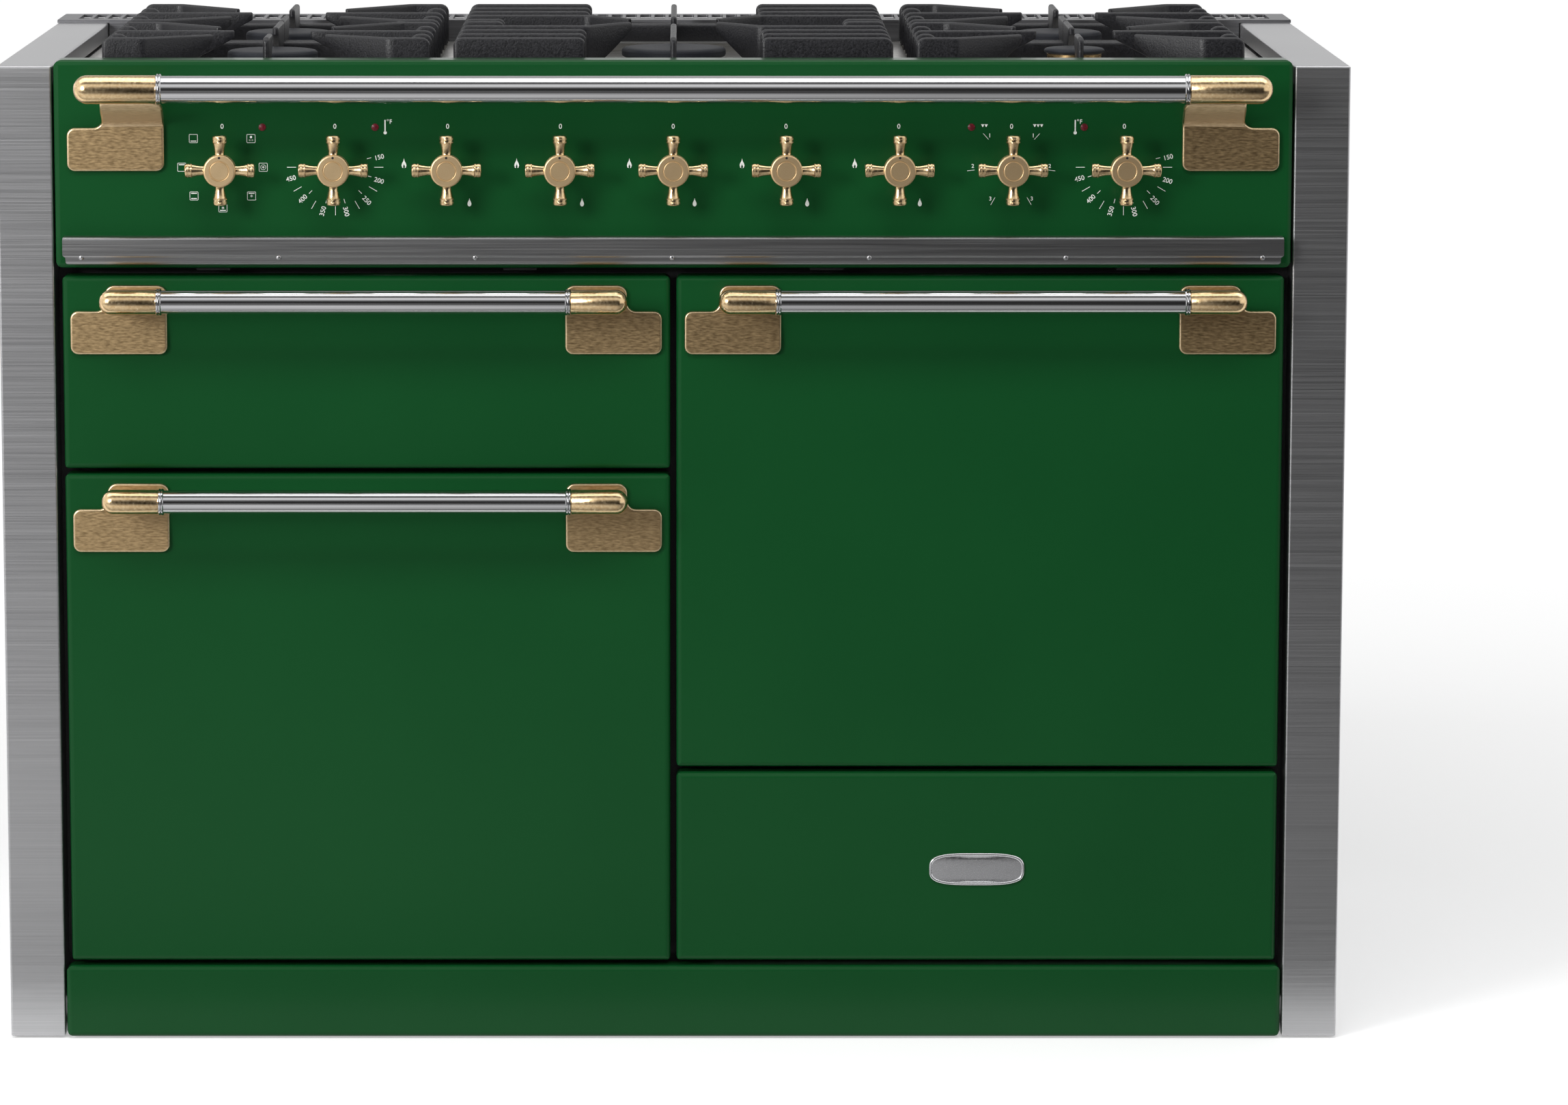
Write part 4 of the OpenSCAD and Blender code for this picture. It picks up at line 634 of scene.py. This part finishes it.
# ---------- nosing ----------
# A rolled stainless moulding under the control panel, folded back underneath and held by seven
# small dome screws whose heads show half below the fold.

nosing_steel = brushed("nosing_steel", (7, 1300, 1300), (0.34, 0.34, 0.345), (0.42, 0.42, 0.425), 0.32)
nose_low, nose_high = (np.array(corner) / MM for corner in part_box("panel_trim"))
deep, tall, top_z = nose_high[1] - nose_low[1], nose_high[2] - nose_low[2], nose_high[2]
a = np.linspace(0, math.pi / 2, 6)
# (distance out, height below the top, how far the end is drawn in) round the section
section = [(0, 0, 0.6), (deep - 2, 0, 0.6)]
section += [(deep - 2 + 2 * math.sin(t), 2 - 2 * math.cos(t), 0.6 * math.cos(t)) for t in a]
section += [(deep, 2.2, 0), (deep, 16.0, 0), (deep, 16.3, 0.1), (deep - 0.5, 17.6, 1.4),
            (deep - 1.2, 18.2, 2.4), (deep - 1.2, 18.4, 2.4), (deep - 1.2, tall - 4, 2.6)]
section += [(deep - 4.2 + 3 * math.cos(t), tall - 3 + 3 * math.sin(t), 6.2 - 3.6 * math.cos(t))
            for t in a[1:]]
section = np.array(section + [(0, tall, 6.2)])
rings = []
for x, way, inset in ((nose_low[0], 1, 1), (nose_low[0], 1, 0), (nose_high[0], -1, 0), (nose_high[0], -1, 1)):
    ring = np.stack([x + way * section[:, 2], nose_high[1] - section[:, 0], top_z - section[:, 1]], -1)
    rings.append(np.broadcast_to(ring.mean(0), ring.shape) if inset else ring)
nosing = [(np.stack(rings) * MM, quads(4, len(section), True), 0)]
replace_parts(piece("nosing", nosing, nosing_steel, "root", 30), "panel_trim")
fold_z = top_z - 17.6
pixel_size, middle_column, middle_x = 0.6183, 1000, 8.7
screw_columns = (128, 414, 699, 984, 1270, 1555, 1840)


def from_photo(column):
    """X in millimetres on the front plane: the column's distance from the middle one times a pixel's size,
    and the middle column's own x added."""
    return (column - middle_column) * pixel_size + middle_x


heads = []
for column in screw_columns:
    place = np.array((from_photo(column), nose_low[1] + 0.7, fold_z - 0.8)) * MM
    heads.append(turned(dome(2.4 * MM, 1.3 * MM), place, (0, -1, -0.2), 20))
piece("nosing_screws", heads, screw_steel, "root")

# ---------- knobs ----------
# Solid satin brass, turned: a waisted stem, a flat hub with a ring groove and a drilled dot, and four
# waisted arms with knurled ends. The dot is a thin black disc on the hub face, painted shade of the hole.
# The faces keep the fine rings that the tool leaves.

satin_brass = grained("satin_brass", 420, 4, (0.70, 0.49, 0.26), (0.88, 0.67, 0.40), 1.0, (0.17, 0.28),
                      bump=0.03 * MM, strength=0.6)
turned_satin = finish("turned_satin_brass", 1.0, 0.42)
radius = node(turned_satin, "Attribute", attribute_name="along")
scale = node(turned_satin, "Math", [(1, 3600)], operation="MULTIPLY")
rings = node(turned_satin, "TexNoise", [("Scale", 1.0), ("Detail", 2.0)], noise_dimensions="1D")
join(turned_satin, (radius.outputs["Fac"], scale.inputs[0]), (scale.outputs["Value"], rings.inputs["W"]))
tint(turned_satin, rings.outputs["Fac"], (0.74, 0.52, 0.28), (0.88, 0.66, 0.39))
emboss(turned_satin, rings.outputs["Fac"], 0.05 * MM, 0.5)
# Black for the knob's dot: painted shade of a drilled hole.
dot_painted_shade = grained("drilled_dot_painted_shade", 3000, 1, (0.003, 0.003, 0.003), (0.010, 0.010, 0.010), 0.0, 0.6)

OUT = (0, -1, 0)


def knob_surfaces(x, z):
    """Crosshead knob at (x, z): its hub is a turned profile along -Y, its arms are turned profiles along four
    directions, and the knurl adds 0.26 mm times |sin(n t + p s) sin(n t - p s)| to the arm's radius."""
    panel = (x * MM, SKIN * MM, z * MM)
    hub = [(0, 5), (6.9, 5), (7.8, 5.8), (7.8, 6.6), (6.8, 8), (6.4, 13), (6.9, 19), (8.6, 23.2),
           (11.4, 25.6), (13.2, 26.3), (14.0, 27), (14.4, 28.2), (14.45, 30), (14.45, 38.3), (14.3, 39.05),
           (13.9, 39.6), (13.3, 39.92), (12.9, 40), (12.7, 40), (9.4, 40), (9.2, 40), (9.05, 39.85),
           (8.85, 39.55), (8.5, 39.42), (8.15, 39.55), (7.95, 39.85), (7.8, 40), (7.6, 40), (3, 40), (0, 40)]
    made = [turned(np.array(hub) * MM, panel, OUT, 72, 0)]
    # The dot is a thin disc just proud of the face, in black: painted shade where a drilled hole would be.
    dot = [(0, 39.9), (1.15, 39.9), (1.1, 40.04), (0, 40.04)]
    above = (panel[0], panel[1], panel[2] + 11.9 * MM)
    made.append(turned(np.array(dot) * MM, above, OUT, 20, 2))
    s = np.concatenate([[24.75], np.linspace(25, 30.2, 14), [30.5, 31.1, 31.1]])
    tip = np.concatenate([[5.0], np.full(14, 6.12), [6.05, 5.3, 0]])
    arm = [(0, 6), (5.0, 6), (5.0, 12.6), (4.5, 14.2), (4.35, 15.4), (4.45, 17.2), (4.95, 20.3), (5.65, 23.4),
           (6.0, 24.4), (6.1, 24.7), (5.85, 24.85), (0, 24.85)]
    around, n, p, arm_out = 90, 15, 3.4, 32
    t = np.linspace(0, 2 * math.pi, around, endpoint=False)[None]
    knurl = 0.26 * np.abs(np.sin(n * t + p * s[:, None]) * np.sin(n * t - p * s[:, None]))
    knurl[:1], knurl[-3:] = 0, 0
    for a in (0, 90, 180, 270):
        way = (math.cos(math.radians(a)), 0, math.sin(math.radians(a)))
        level = (panel[0], panel[1] - arm_out * MM, panel[2])
        made.append(turned(np.array(arm) * MM, level, way, 40, 1))
        made.append(turned(np.stack([tip, s], 1) * MM, level, way, around, 1, knurl * MM))
    return made


knob_metals = [turned_satin, satin_brass, dot_painted_shade]
for i in range(1, 10):
    surfaces = knob_surfaces(knob_x(i), knob_z)
    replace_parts(piece(f"crosshead_knob_{i}", surfaces, knob_metals, f"knob_{i}", 40), f"knob_{i}")
wear(brushed("spindle_steel", (900, 30, 900), (0.5, 0.5, 0.5), (0.66, 0.66, 0.67), 0.22),
     *[f"tap_spindle_{i}" for i in range(3, 8)])

# ---------- towel rail and door handles ----------
# Drawn stainless tube, polished lengthwise, with a double-beaded chrome collar at each end. It is held by
# cast and hand-finished brass brackets: a plate on the front, a neck, and a round-ended cap over the tube.

wear(brushed("tube_steel", (5, 1500, 1500), (0.54, 0.54, 0.55), (0.68, 0.68, 0.69), 0.13), "rail_bar",
     "left_door_handle_bar", "right_door_handle_bar", "broiler_handle_bar")

hand_strokes = (170, 600, 700)
plate_brass = grained("plate_brass", hand_strokes, 4, (0.44, 0.30, 0.15), (0.66, 0.47, 0.25), 1.0,
                      (0.32, 0.48), bump=0.03 * MM, strength=0.6)
# The neck wears a half-metallic copy of the plate's brass, so its diffuse part catches more light: painted
# light in place of the brighter reflection the bent neck lacks.
neck_brass_painted_light = grained("neck_brass_painted_light", hand_strokes, 4, (0.38, 0.27, 0.15), (0.56, 0.42, 0.25), 0.35,
                     (0.32, 0.48))
# The rounded rim wears lighter brass than the faces: a painted highlight along the edges.
edge_brass_painted_highlight = grained("edge_brass_painted_highlight", 500, 3, (0.66, 0.49, 0.29), (0.82, 0.64, 0.41), 1.0, 0.34)
bracket_brass = [plate_brass, satin_brass, edge_brass_painted_highlight, neck_brass_painted_light]


def quarter(centre, radius, first, steps=7):
    """Points of a quarter circle from an angle in degrees; a negative radius walks it clockwise."""
    t = math.radians(first) + np.sign(radius) * np.linspace(0, math.pi / 2, steps)
    return [(centre[0] + abs(radius) * math.cos(a), centre[1] + abs(radius) * math.sin(a)) for a in t]


def bent_plate(left, right, line, thick=5, edge=1.5):
    """Plate bent along a line, with all its edges rounded. left and right are its sides as (x, s), where s is
    the distance along the line of (y, z) places. Rings of the outline are moved in by e(1 - cos a) and placed
    n = e(1 - sin a) from each face, and rows between the two sides close both faces; a point is
    line(s) + n times the line's normal. The rim has material 2, the faces have 0."""
    left = np.array(left, float)
    climb = np.linspace(0, 1, len(left))
    s = 0.98 * left[:, 1] + 0.02 * left[-1, 1] * climb
    right = np.array(right, float)
    right = np.stack([np.interp(s, right[:, 1], right[:, 0]), s], -1)
    outline = np.concatenate([left, right[::-1]])
    step = np.roll(outline, -1, axis=0) - np.roll(outline, 1, axis=0)
    step /= np.linalg.norm(step, axis=1, keepdims=True)
    inward = np.stack([step[:, 1], -step[:, 0]], -1)
    a = np.linspace(0, math.pi / 2, 5)
    levels = [(edge * (1 - math.sin(x)), edge * (1 - math.cos(x))) for x in a]
    levels += [(edge * (1 - math.cos(x)), thick - edge * (1 - math.sin(x))) for x in a]
    line = np.array(line, float)
    run = np.concatenate([[0], np.cumsum(np.linalg.norm(np.diff(line, axis=0), axis=1))])
    way = np.gradient(line, run, axis=0)
    way /= np.linalg.norm(way, axis=1, keepdims=True)

    def place(flat_points, n):
        """Lays (x, s) points on the bent line at n from the back face."""
        y, z, ty, tz = (np.interp(flat_points[..., 1], run, track) for track in (*line.T, *way.T))
        return np.stack([flat_points[..., 0], y - tz * n, z + ty * n], -1)

    rings = np.stack([place(outline + inward * e, n) for e, n in levels])
    count, across = len(left), np.array((0, 0.012, 0.17, 0.33, 0.5, 0.67, 0.83, 0.988, 1))[:, None, None]
    sheets = []
    for e, n in (levels[0], levels[-1]):
        ring = outline + inward * e
        rows = ring[:count] * (1 - across) + ring[count:][::-1] * across
        sheets.append(place(rows, n))
    cells = [quads(len(levels), len(outline), True), quads(9, count)[:, ::-1] + rings[..., 0].size]
    cells.append(quads(9, count) + rings[..., 0].size + 9 * count)
    points = np.concatenate([rings.reshape(-1, 3)] + [sheet.reshape(-1, 3) for sheet in sheets])
    number = np.concatenate([np.full(len(c), 0 if k else 2) for k, c in enumerate(cells)])
    return points * MM, np.concatenate(cells), number


def end_cap(radius, length, nose, place, around):
    """Cap along X with a round nose, r = R - n + n sin a and h = n - n cos a, then straight to a fine lip."""
    a = np.linspace(0, math.pi / 2, 12)
    profile = [(0, 0)] + [((radius - nose) + nose * math.sin(x), nose - nose * math.cos(x)) for x in a]
    profile += [(radius, length - 0.6), (radius - 0.5, length), (0, length)]
    return turned(np.array(profile) * MM, np.array(place) * MM, (1, 0, 0), around, 1)


def swept_arm(centre_x, width, path, thick, corner):
    """Arm: a rounded rectangle section, width by thickness, carried along a path of (y, z) with its
    thickness across the path and each section tilted by the path's tangent."""
    path = np.array(path, float)
    step = np.gradient(path, axis=0)
    step /= np.linalg.norm(step, axis=1, keepdims=True)
    normal = np.stack([step[:, 1], -step[:, 0]], -1)
    thick = np.array(thick, float)
    t = np.linspace(0, math.pi / 2, 5)
    section = []
    for sx, sy, first in ((1, 1, 0), (-1, 1, 1), (-1, -1, 2), (1, -1, 3)):
        for a in t + first * math.pi / 2:
            section.append((sx * (width / 2 - corner) + corner * math.cos(a), sy, corner * math.sin(a)))
    section = np.array(section)
    off = section[:, 1] * (thick[:, None] / 2 - corner) + section[:, 2]
    points = np.stack([np.broadcast_to(centre_x + section[:, 0], off.shape),
                       *(path[:, k : k + 1] + normal[:, k : k + 1] * off for k in (0, 1))], -1)
    ends = [points[k:][:1].mean(1, keepdims=True).repeat(len(section), 1) for k in (0, -1)]
    closed = np.concatenate([ends[0], points, ends[1]])
    return closed * MM, quads(len(closed), len(section), True), 0


PLATE_W, PLATE_H, NECK_W = 87, 39, 55.6


def plate_sides(outer, length, left_turn, right_turn, climb=(), steps=7):
    """Left and right sides of a bracket's plate as (x, s): a low tab with corners of 7 mm, a fillet of 8 mm,
    and a neck up to the length whose own corners have the two given radii."""
    inner = outer + PLATE_W
    neck = inner - NECK_W
    left = (quarter((outer + 7, 7), -7, 270) + [(outer, 20)] + quarter((outer + 7, PLATE_H - 7), -7, 180)
            + quarter((neck - 8, PLATE_H + 8), 8, 270) + [(neck, s) for s in climb]
            + quarter((neck + left_turn, length - left_turn), -left_turn, 180, steps))
    right = quarter((inner - 7, 7), 7, 270) + [(inner, 20)]
    return left, right + quarter((inner - right_turn, length - right_turn), right_turn, 0)


rail_y, rail_z = FRONT - 55, 874.3
rail_end, plate_low = -531.7, 797.3
plate_top = plate_low + PLATE_H + 1
u = np.linspace(0, 1, 24)[:, None]
bend = [np.array(p) for p in ((SKIN, plate_top), (SKIN, plate_top + 16), (rail_y + 12, rail_z - 24),
                              (rail_y + 1, rail_z - 9))]
curve = sum(k * (1 - u) ** (3 - n) * u**n * p for n, (k, p) in enumerate(zip((1, 3, 3, 1), bend)))
line = np.concatenate([[(SKIN, plate_low)], curve])
length = np.linalg.norm(np.diff(line, axis=0), axis=1).sum()
climb = [PLATE_H + 8 + k * (length - PLATE_H - 11) / 14 for k in range(1, 14)]
sides = plate_sides(rail_end - 11.2, length, 3, 10, climb, 5)
points, cells, number = bent_plate(*sides, line)
# Faces above the plate's top wear material 3, the neck's painted-light brass.
number[(points[cells].mean(1)[:, 2] > plate_top * MM) & (number == 0)] = 3
points[:, 0] += 3.2 * MM * np.clip((SKIN * MM - points[:, 1]) / (50 * MM) - 0.1, 0, 1)
surfaces = [(points, cells, number), end_cap(12.75, 73.4, 12.2, (rail_end, rail_y, rail_z), 64)]
bracket = piece("rail_brackets_brass", mirrored(surfaces), bracket_brass, "root", 40)
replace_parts(bracket, "rail_brackets")

column_x, door_w = 276.125, 546.75
plate_drop, bar_drop = 70.5, 18
doors = (("broiler", -column_x, 702.5), ("left_door", -column_x, 522.5), ("right_door", column_x, 702.5))
for side, x, top in doors:
    low, bar_z, outer = top - plate_drop, top - bar_drop, x - door_w / 2 + 7.4
    cap_start = x - door_w / 2 + 37.8
    arm = [(SKIN - out, bar_z - down) for out, down in ((3, 9), (14, 8), (26, 5), (38, 2), (48, 0))]
    sides = plate_sides(outer, top - 8 - low, 8.5, 8.5)
    surfaces = [bent_plate(*sides, [(SKIN, low), (SKIN, top)]),
                swept_arm(cap_start + 27, 40, arm, [15, 13, 12, 12, 13], 3),
                end_cap(11, 50.7, 10.4, (cap_start, SKIN - 50, bar_z), 56)]
    bracket = piece(f"{side}_brackets_brass", mirrored(surfaces, x), bracket_brass[:3], side, 40)
    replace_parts(bracket, f"{side}_handle_brackets")

# ---------- plate on the drawer ----------
# A small chromed plate with rounded ends lies flat on the middle of the drawer front.
# Its raised rim is polished, and its slightly domed face is satin.

chrome = finish("polished_chrome", 1.0, 0.10, colour=(0.72, 0.72, 0.74))
roughen(chrome, grain(chrome, 60, 3), 0.07, 0.16)
satin_chrome = grained("satin_chrome", (300, 1500, 1500), 3, (0.60, 0.60, 0.62), (0.74, 0.74, 0.76), 1.0,
                       (0.22, 0.32))
badge_column = 1433
badge_x, badge_z = from_photo(badge_column), 159.0
t = np.linspace(0, 2 * math.pi, 96, endpoint=False)
power = 2 / 3.4
half_w, half_h = 43.3, 15


def plaque(levels, index):
    """Oval plaque: rings x = a sgn(cos t)|cos t|^p, z = b sgn(sin t)|sin t|^p, drawn in by e and out by y."""
    rings = []
    for e, y in levels:
        tall = half_h - e * half_h / half_w if e > 5 else half_h - e
        x, z = (np.sign(way) * np.abs(way) ** power * max(size, 0)
                for way, size in ((np.cos(t), half_w - e), (np.sin(t), tall)))
        rings.append(np.stack([badge_x + x, np.full(len(t), SKIN - y), badge_z + z], -1))
    return np.stack(rings) * MM, quads(len(rings), len(t), True), index


rim = plaque([(half_w, -0.5), (0.2, -0.5), (0.2, 1.0), (0, 1.6), (0.5, 2.4), (1.3, 2.6), (2.1, 2.3),
              (2.5, 1.6), (half_w, 1.6)], 0)
face = plaque([(half_w, 0.5), (2.6, 0.5), (2.6, 1.7), (8, 1.9), (18, 2.1), (half_w, 2.25)], 1)
piece("drawer_plate", [rim, face], [chrome, satin_chrome], "drawer", 50)

# ---------- ovens, broiler and drawer inside ----------
# Liners and door linings are steel with speckled black enamel, shelves and the broiler's grid are chromed
# wire, elements are dark heat-proof tube, and the seals are woven black cord in a silicone carrier.

oven_enamel = finish("oven_enamel", 0.0, 0.25)
tint(oven_enamel, crystals(oven_enamel, 420).outputs["Distance"], (0.16, 0.17, 0.19), (0.015, 0.016, 0.020),
     (0.10, 0.16))
emboss(oven_enamel, grain(oven_enamel, 220, 2), 0.08 * MM, 0.4)
wear(oven_enamel, "left_oven_liner", "right_oven_liner", "fan_covers", "broiler_pan", "left_door_liner",
     "right_door_liner")
wear(brushed("wire_chrome", 200, (0.60, 0.60, 0.61), (0.74, 0.74, 0.75), 0.16), "oven_shelves")
wear(brushed("fan_steel", 300, (0.42, 0.42, 0.43), (0.56, 0.56, 0.57), 0.30), "left_oven_fan",
     "right_oven_fan")
wear(grained("element_tube", 120, 3, (0.032, 0.028, 0.027), (0.085, 0.066, 0.055), 0.6, 0.5, bump=0.05 * MM),
     "broiler_elements")
wear(grained("seal_cord", 1600, 2, (0.012, 0.012, 0.012), (0.045, 0.044, 0.042), 0.0, 0.8, 0.3, 0.2 * MM),
     "oven_door_seals")
wear(brushed("pipe_brass", 300, (0.42, 0.30, 0.14), (0.58, 0.43, 0.22), 0.38), "gas_manifold")
wear(grained("control_case", 800, 2, (0.50, 0.48, 0.42), (0.60, 0.58, 0.52), 0.0, 0.55, bump=0.03 * MM),
     "oven_controls")

# ---------- floor, lamps and camera ----------
# A pale studio floor and world. A wide lamp stands high at the front left, a second hangs over the front,
# and a large card in front, seen only in reflections, is pale at its left and dark at its right.


def plane(name, points, material):
    """Flat or curved stage sheet from a grid of points."""
    mesh = bpy.data.meshes.new(name)
    points = np.array(points, float)
    mesh.from_pydata(points.reshape(-1, 3).tolist(), [], quads(*points.shape[:2]).tolist())
    mesh.materials.append(material)
    made = linked(name, mesh)
    return made


def seen_by_eye_or_metal(owner):
    """1 for camera, glossy and transmission rays, and 0 for the rays that light the object."""
    path = node(owner, "LightPath")
    first, both = (node(owner, "Math", operation="MAXIMUM") for _ in range(2))
    join(owner, (path.outputs["Is Camera Ray"], first.inputs[0]),
         (path.outputs["Is Glossy Ray"], first.inputs[1]), (first.outputs["Value"], both.inputs[0]),
         (path.outputs["Is Transmission Ray"], both.inputs[1]))
    return both.outputs["Value"]


floor_white = finish("floor_white", 0.0, 0.9, 0.1)
lift = node(floor_white, "Emission")
place = node(floor_white, "TexCoord")
away = node(floor_white, "VectorMath", operation="LENGTH")
fade = node(floor_white, "MapRange",
            [("From Min", 0.9), ("From Max", 3.2), ("To Min", 0.40), ("To Max", 0.66)])
add = node(floor_white, "AddShader")
mix = node(floor_white, "MixShader")
matt = floor_white.node_tree.nodes["Principled BSDF"].outputs["BSDF"]
join(floor_white, (place.outputs["Object"], away.inputs[0]), (away.outputs["Value"], fade.inputs["Value"]),
     (fade.outputs["Result"], lift.inputs["Strength"]),
     (seen_by_eye_or_metal(floor_white), mix.inputs["Fac"]), (matt, mix.inputs[1]), (matt, add.inputs[0]),
     (lift.outputs["Emission"], add.inputs[1]), (add.outputs["Shader"], mix.inputs[2]),
     (mix.outputs["Shader"], floor_white.node_tree.nodes["Material Output"].inputs["Surface"]))
plane("floor", [[(-20, -20, 0), (20, -20, 0)], [(-20, 20, 0), (20, 20, 0)]], floor_white)

world = bpy.data.worlds.new("studio")
bpy.context.scene.world = world
world.use_nodes = True
ground = world.node_tree.nodes["Background"]
ground.inputs["Color"].default_value = (1, 1, 1, 1)
level = node(world, "MapRange", [("To Min", 0.42), ("To Max", 1.0)])
join(world, (seen_by_eye_or_metal(world), level.inputs["Value"]),
     (level.outputs["Result"], ground.inputs["Strength"]))

card_tone = bpy.data.materials.new("card_tone")
card_tone.use_nodes = True
card_tone.node_tree.nodes.remove(card_tone.node_tree.nodes["Principled BSDF"])
glow = node(card_tone, "Emission")
place = node(card_tone, "TexCoord")
split = node(card_tone, "SeparateXYZ")
slope = node(card_tone, "MapRange", [("From Min", -1.3), ("From Max", 1.2)],
             interpolation_type="SMOOTHSTEP")
for name, end in (("left_glow", "To Min"), ("right_glow", "To Max")):
    row_glow = node(card_tone, "Attribute", attribute_name=name)
    join(card_tone, (row_glow.outputs["Fac"], slope.inputs[end]))
join(card_tone, (place.outputs["Object"], split.inputs["Vector"]),
     (split.outputs["X"], slope.inputs["Value"]),
     (slope.outputs["Result"], glow.inputs["Strength"]),
     (glow.outputs["Emission"], card_tone.node_tree.nodes["Material Output"].inputs["Surface"]))
# distance in front, height, and glow at the left and right of each row, up from the floor and over
rows = np.array([
    (-0.42, 0.006, 0.15, 0.04), (-0.6, 0.006, 0.6, 0.12), (-0.9, 0.006, 0.95, 0.24), (-1.5, 0.006, 0.95, 0.2),
    (-2.0, 0.006, 0.4, 0.05), (-2.7, 0.006, 0.14, 0.01), (-4.0, 0.006, 0.22, 0.01), (-7.0, 0.006, 0.26, 0.01),
    (-8.5, 0.006, 0.05, 0.03), (-9.0, 0.5, 0.03, 0.03), (-9.0, 2.6, 0.03, 0.03), (-8.5, 4.0, 0.2, 0.2),
    (-7.6, 5.4, 0.9, 0.9), (-5.8, 6.6, 0.9, 0.9), (-5.0, 6.9, 0.15, 0.15), (-2.6, 7.2, 0.12, 0.12),
    (-2.3, 7.2, 2.4, 2.4), (2.2, 7.2, 2.4, 2.4), (2.6, 7.2, 0.5, 0.5), (6.0, 6.0, 0.5, 0.5),
    (9.0, 3.2, 0.6, 0.6)])
card = plane("front_card", [[(x, y, z) for x in (-7, 7)] for y, z in rows[:, :2]], card_tone)
for name, column in (("left_glow", 2), ("right_glow", 3)):
    shine = card.data.attributes.new(name, "FLOAT", "POINT")
    shine.data.foreach_set("value", np.repeat(rows[:, column], 2).astype(np.float32))
for ray in ("camera", "diffuse", "shadow", "transmission"):
    setattr(card, "visible_" + ray, False)


def lamp(name, place, aim, width, height, power):
    """Area lamp of a given size that faces a point; power in watts."""
    light = bpy.data.lights.new(name, "AREA")
    light.shape = "RECTANGLE"
    light.size, light.size_y, light.energy = width, height, power
    made = linked(name, light)
    made.location = place
    way = np.array(aim, float) - np.array(place, float)
    made.rotation_euler = (math.atan2(math.hypot(way[0], way[1]), -way[2]), 0, math.atan2(-way[0], way[1]))
    return made


lamp("key", (-2.7, -3.6, 1.9), (0, -0.2, 0.5), 1.3, 1.3, 105)
lamp("overhead", (-0.2, -2.2, 2.7), (0, 0, 0.7), 2.6, 0.8, 48).visible_glossy = False

camera = linked("camera", bpy.data.cameras.new("camera"))
bpy.context.scene.camera = camera
camera.data.sensor_width = 36
camera.data.lens = 141.2
camera.data.shift_x = 0.0639
camera.data.shift_y = -0.03
camera.data.clip_end = 60
eye_distance, tilt = 5.5, 8.478
camera.location = (0.0095, FRONT * MM - eye_distance, 1.3134)
camera.rotation_euler = (math.radians(90 - tilt), 0, 0)
bpy.context.scene.view_settings.view_transform = "Standard"
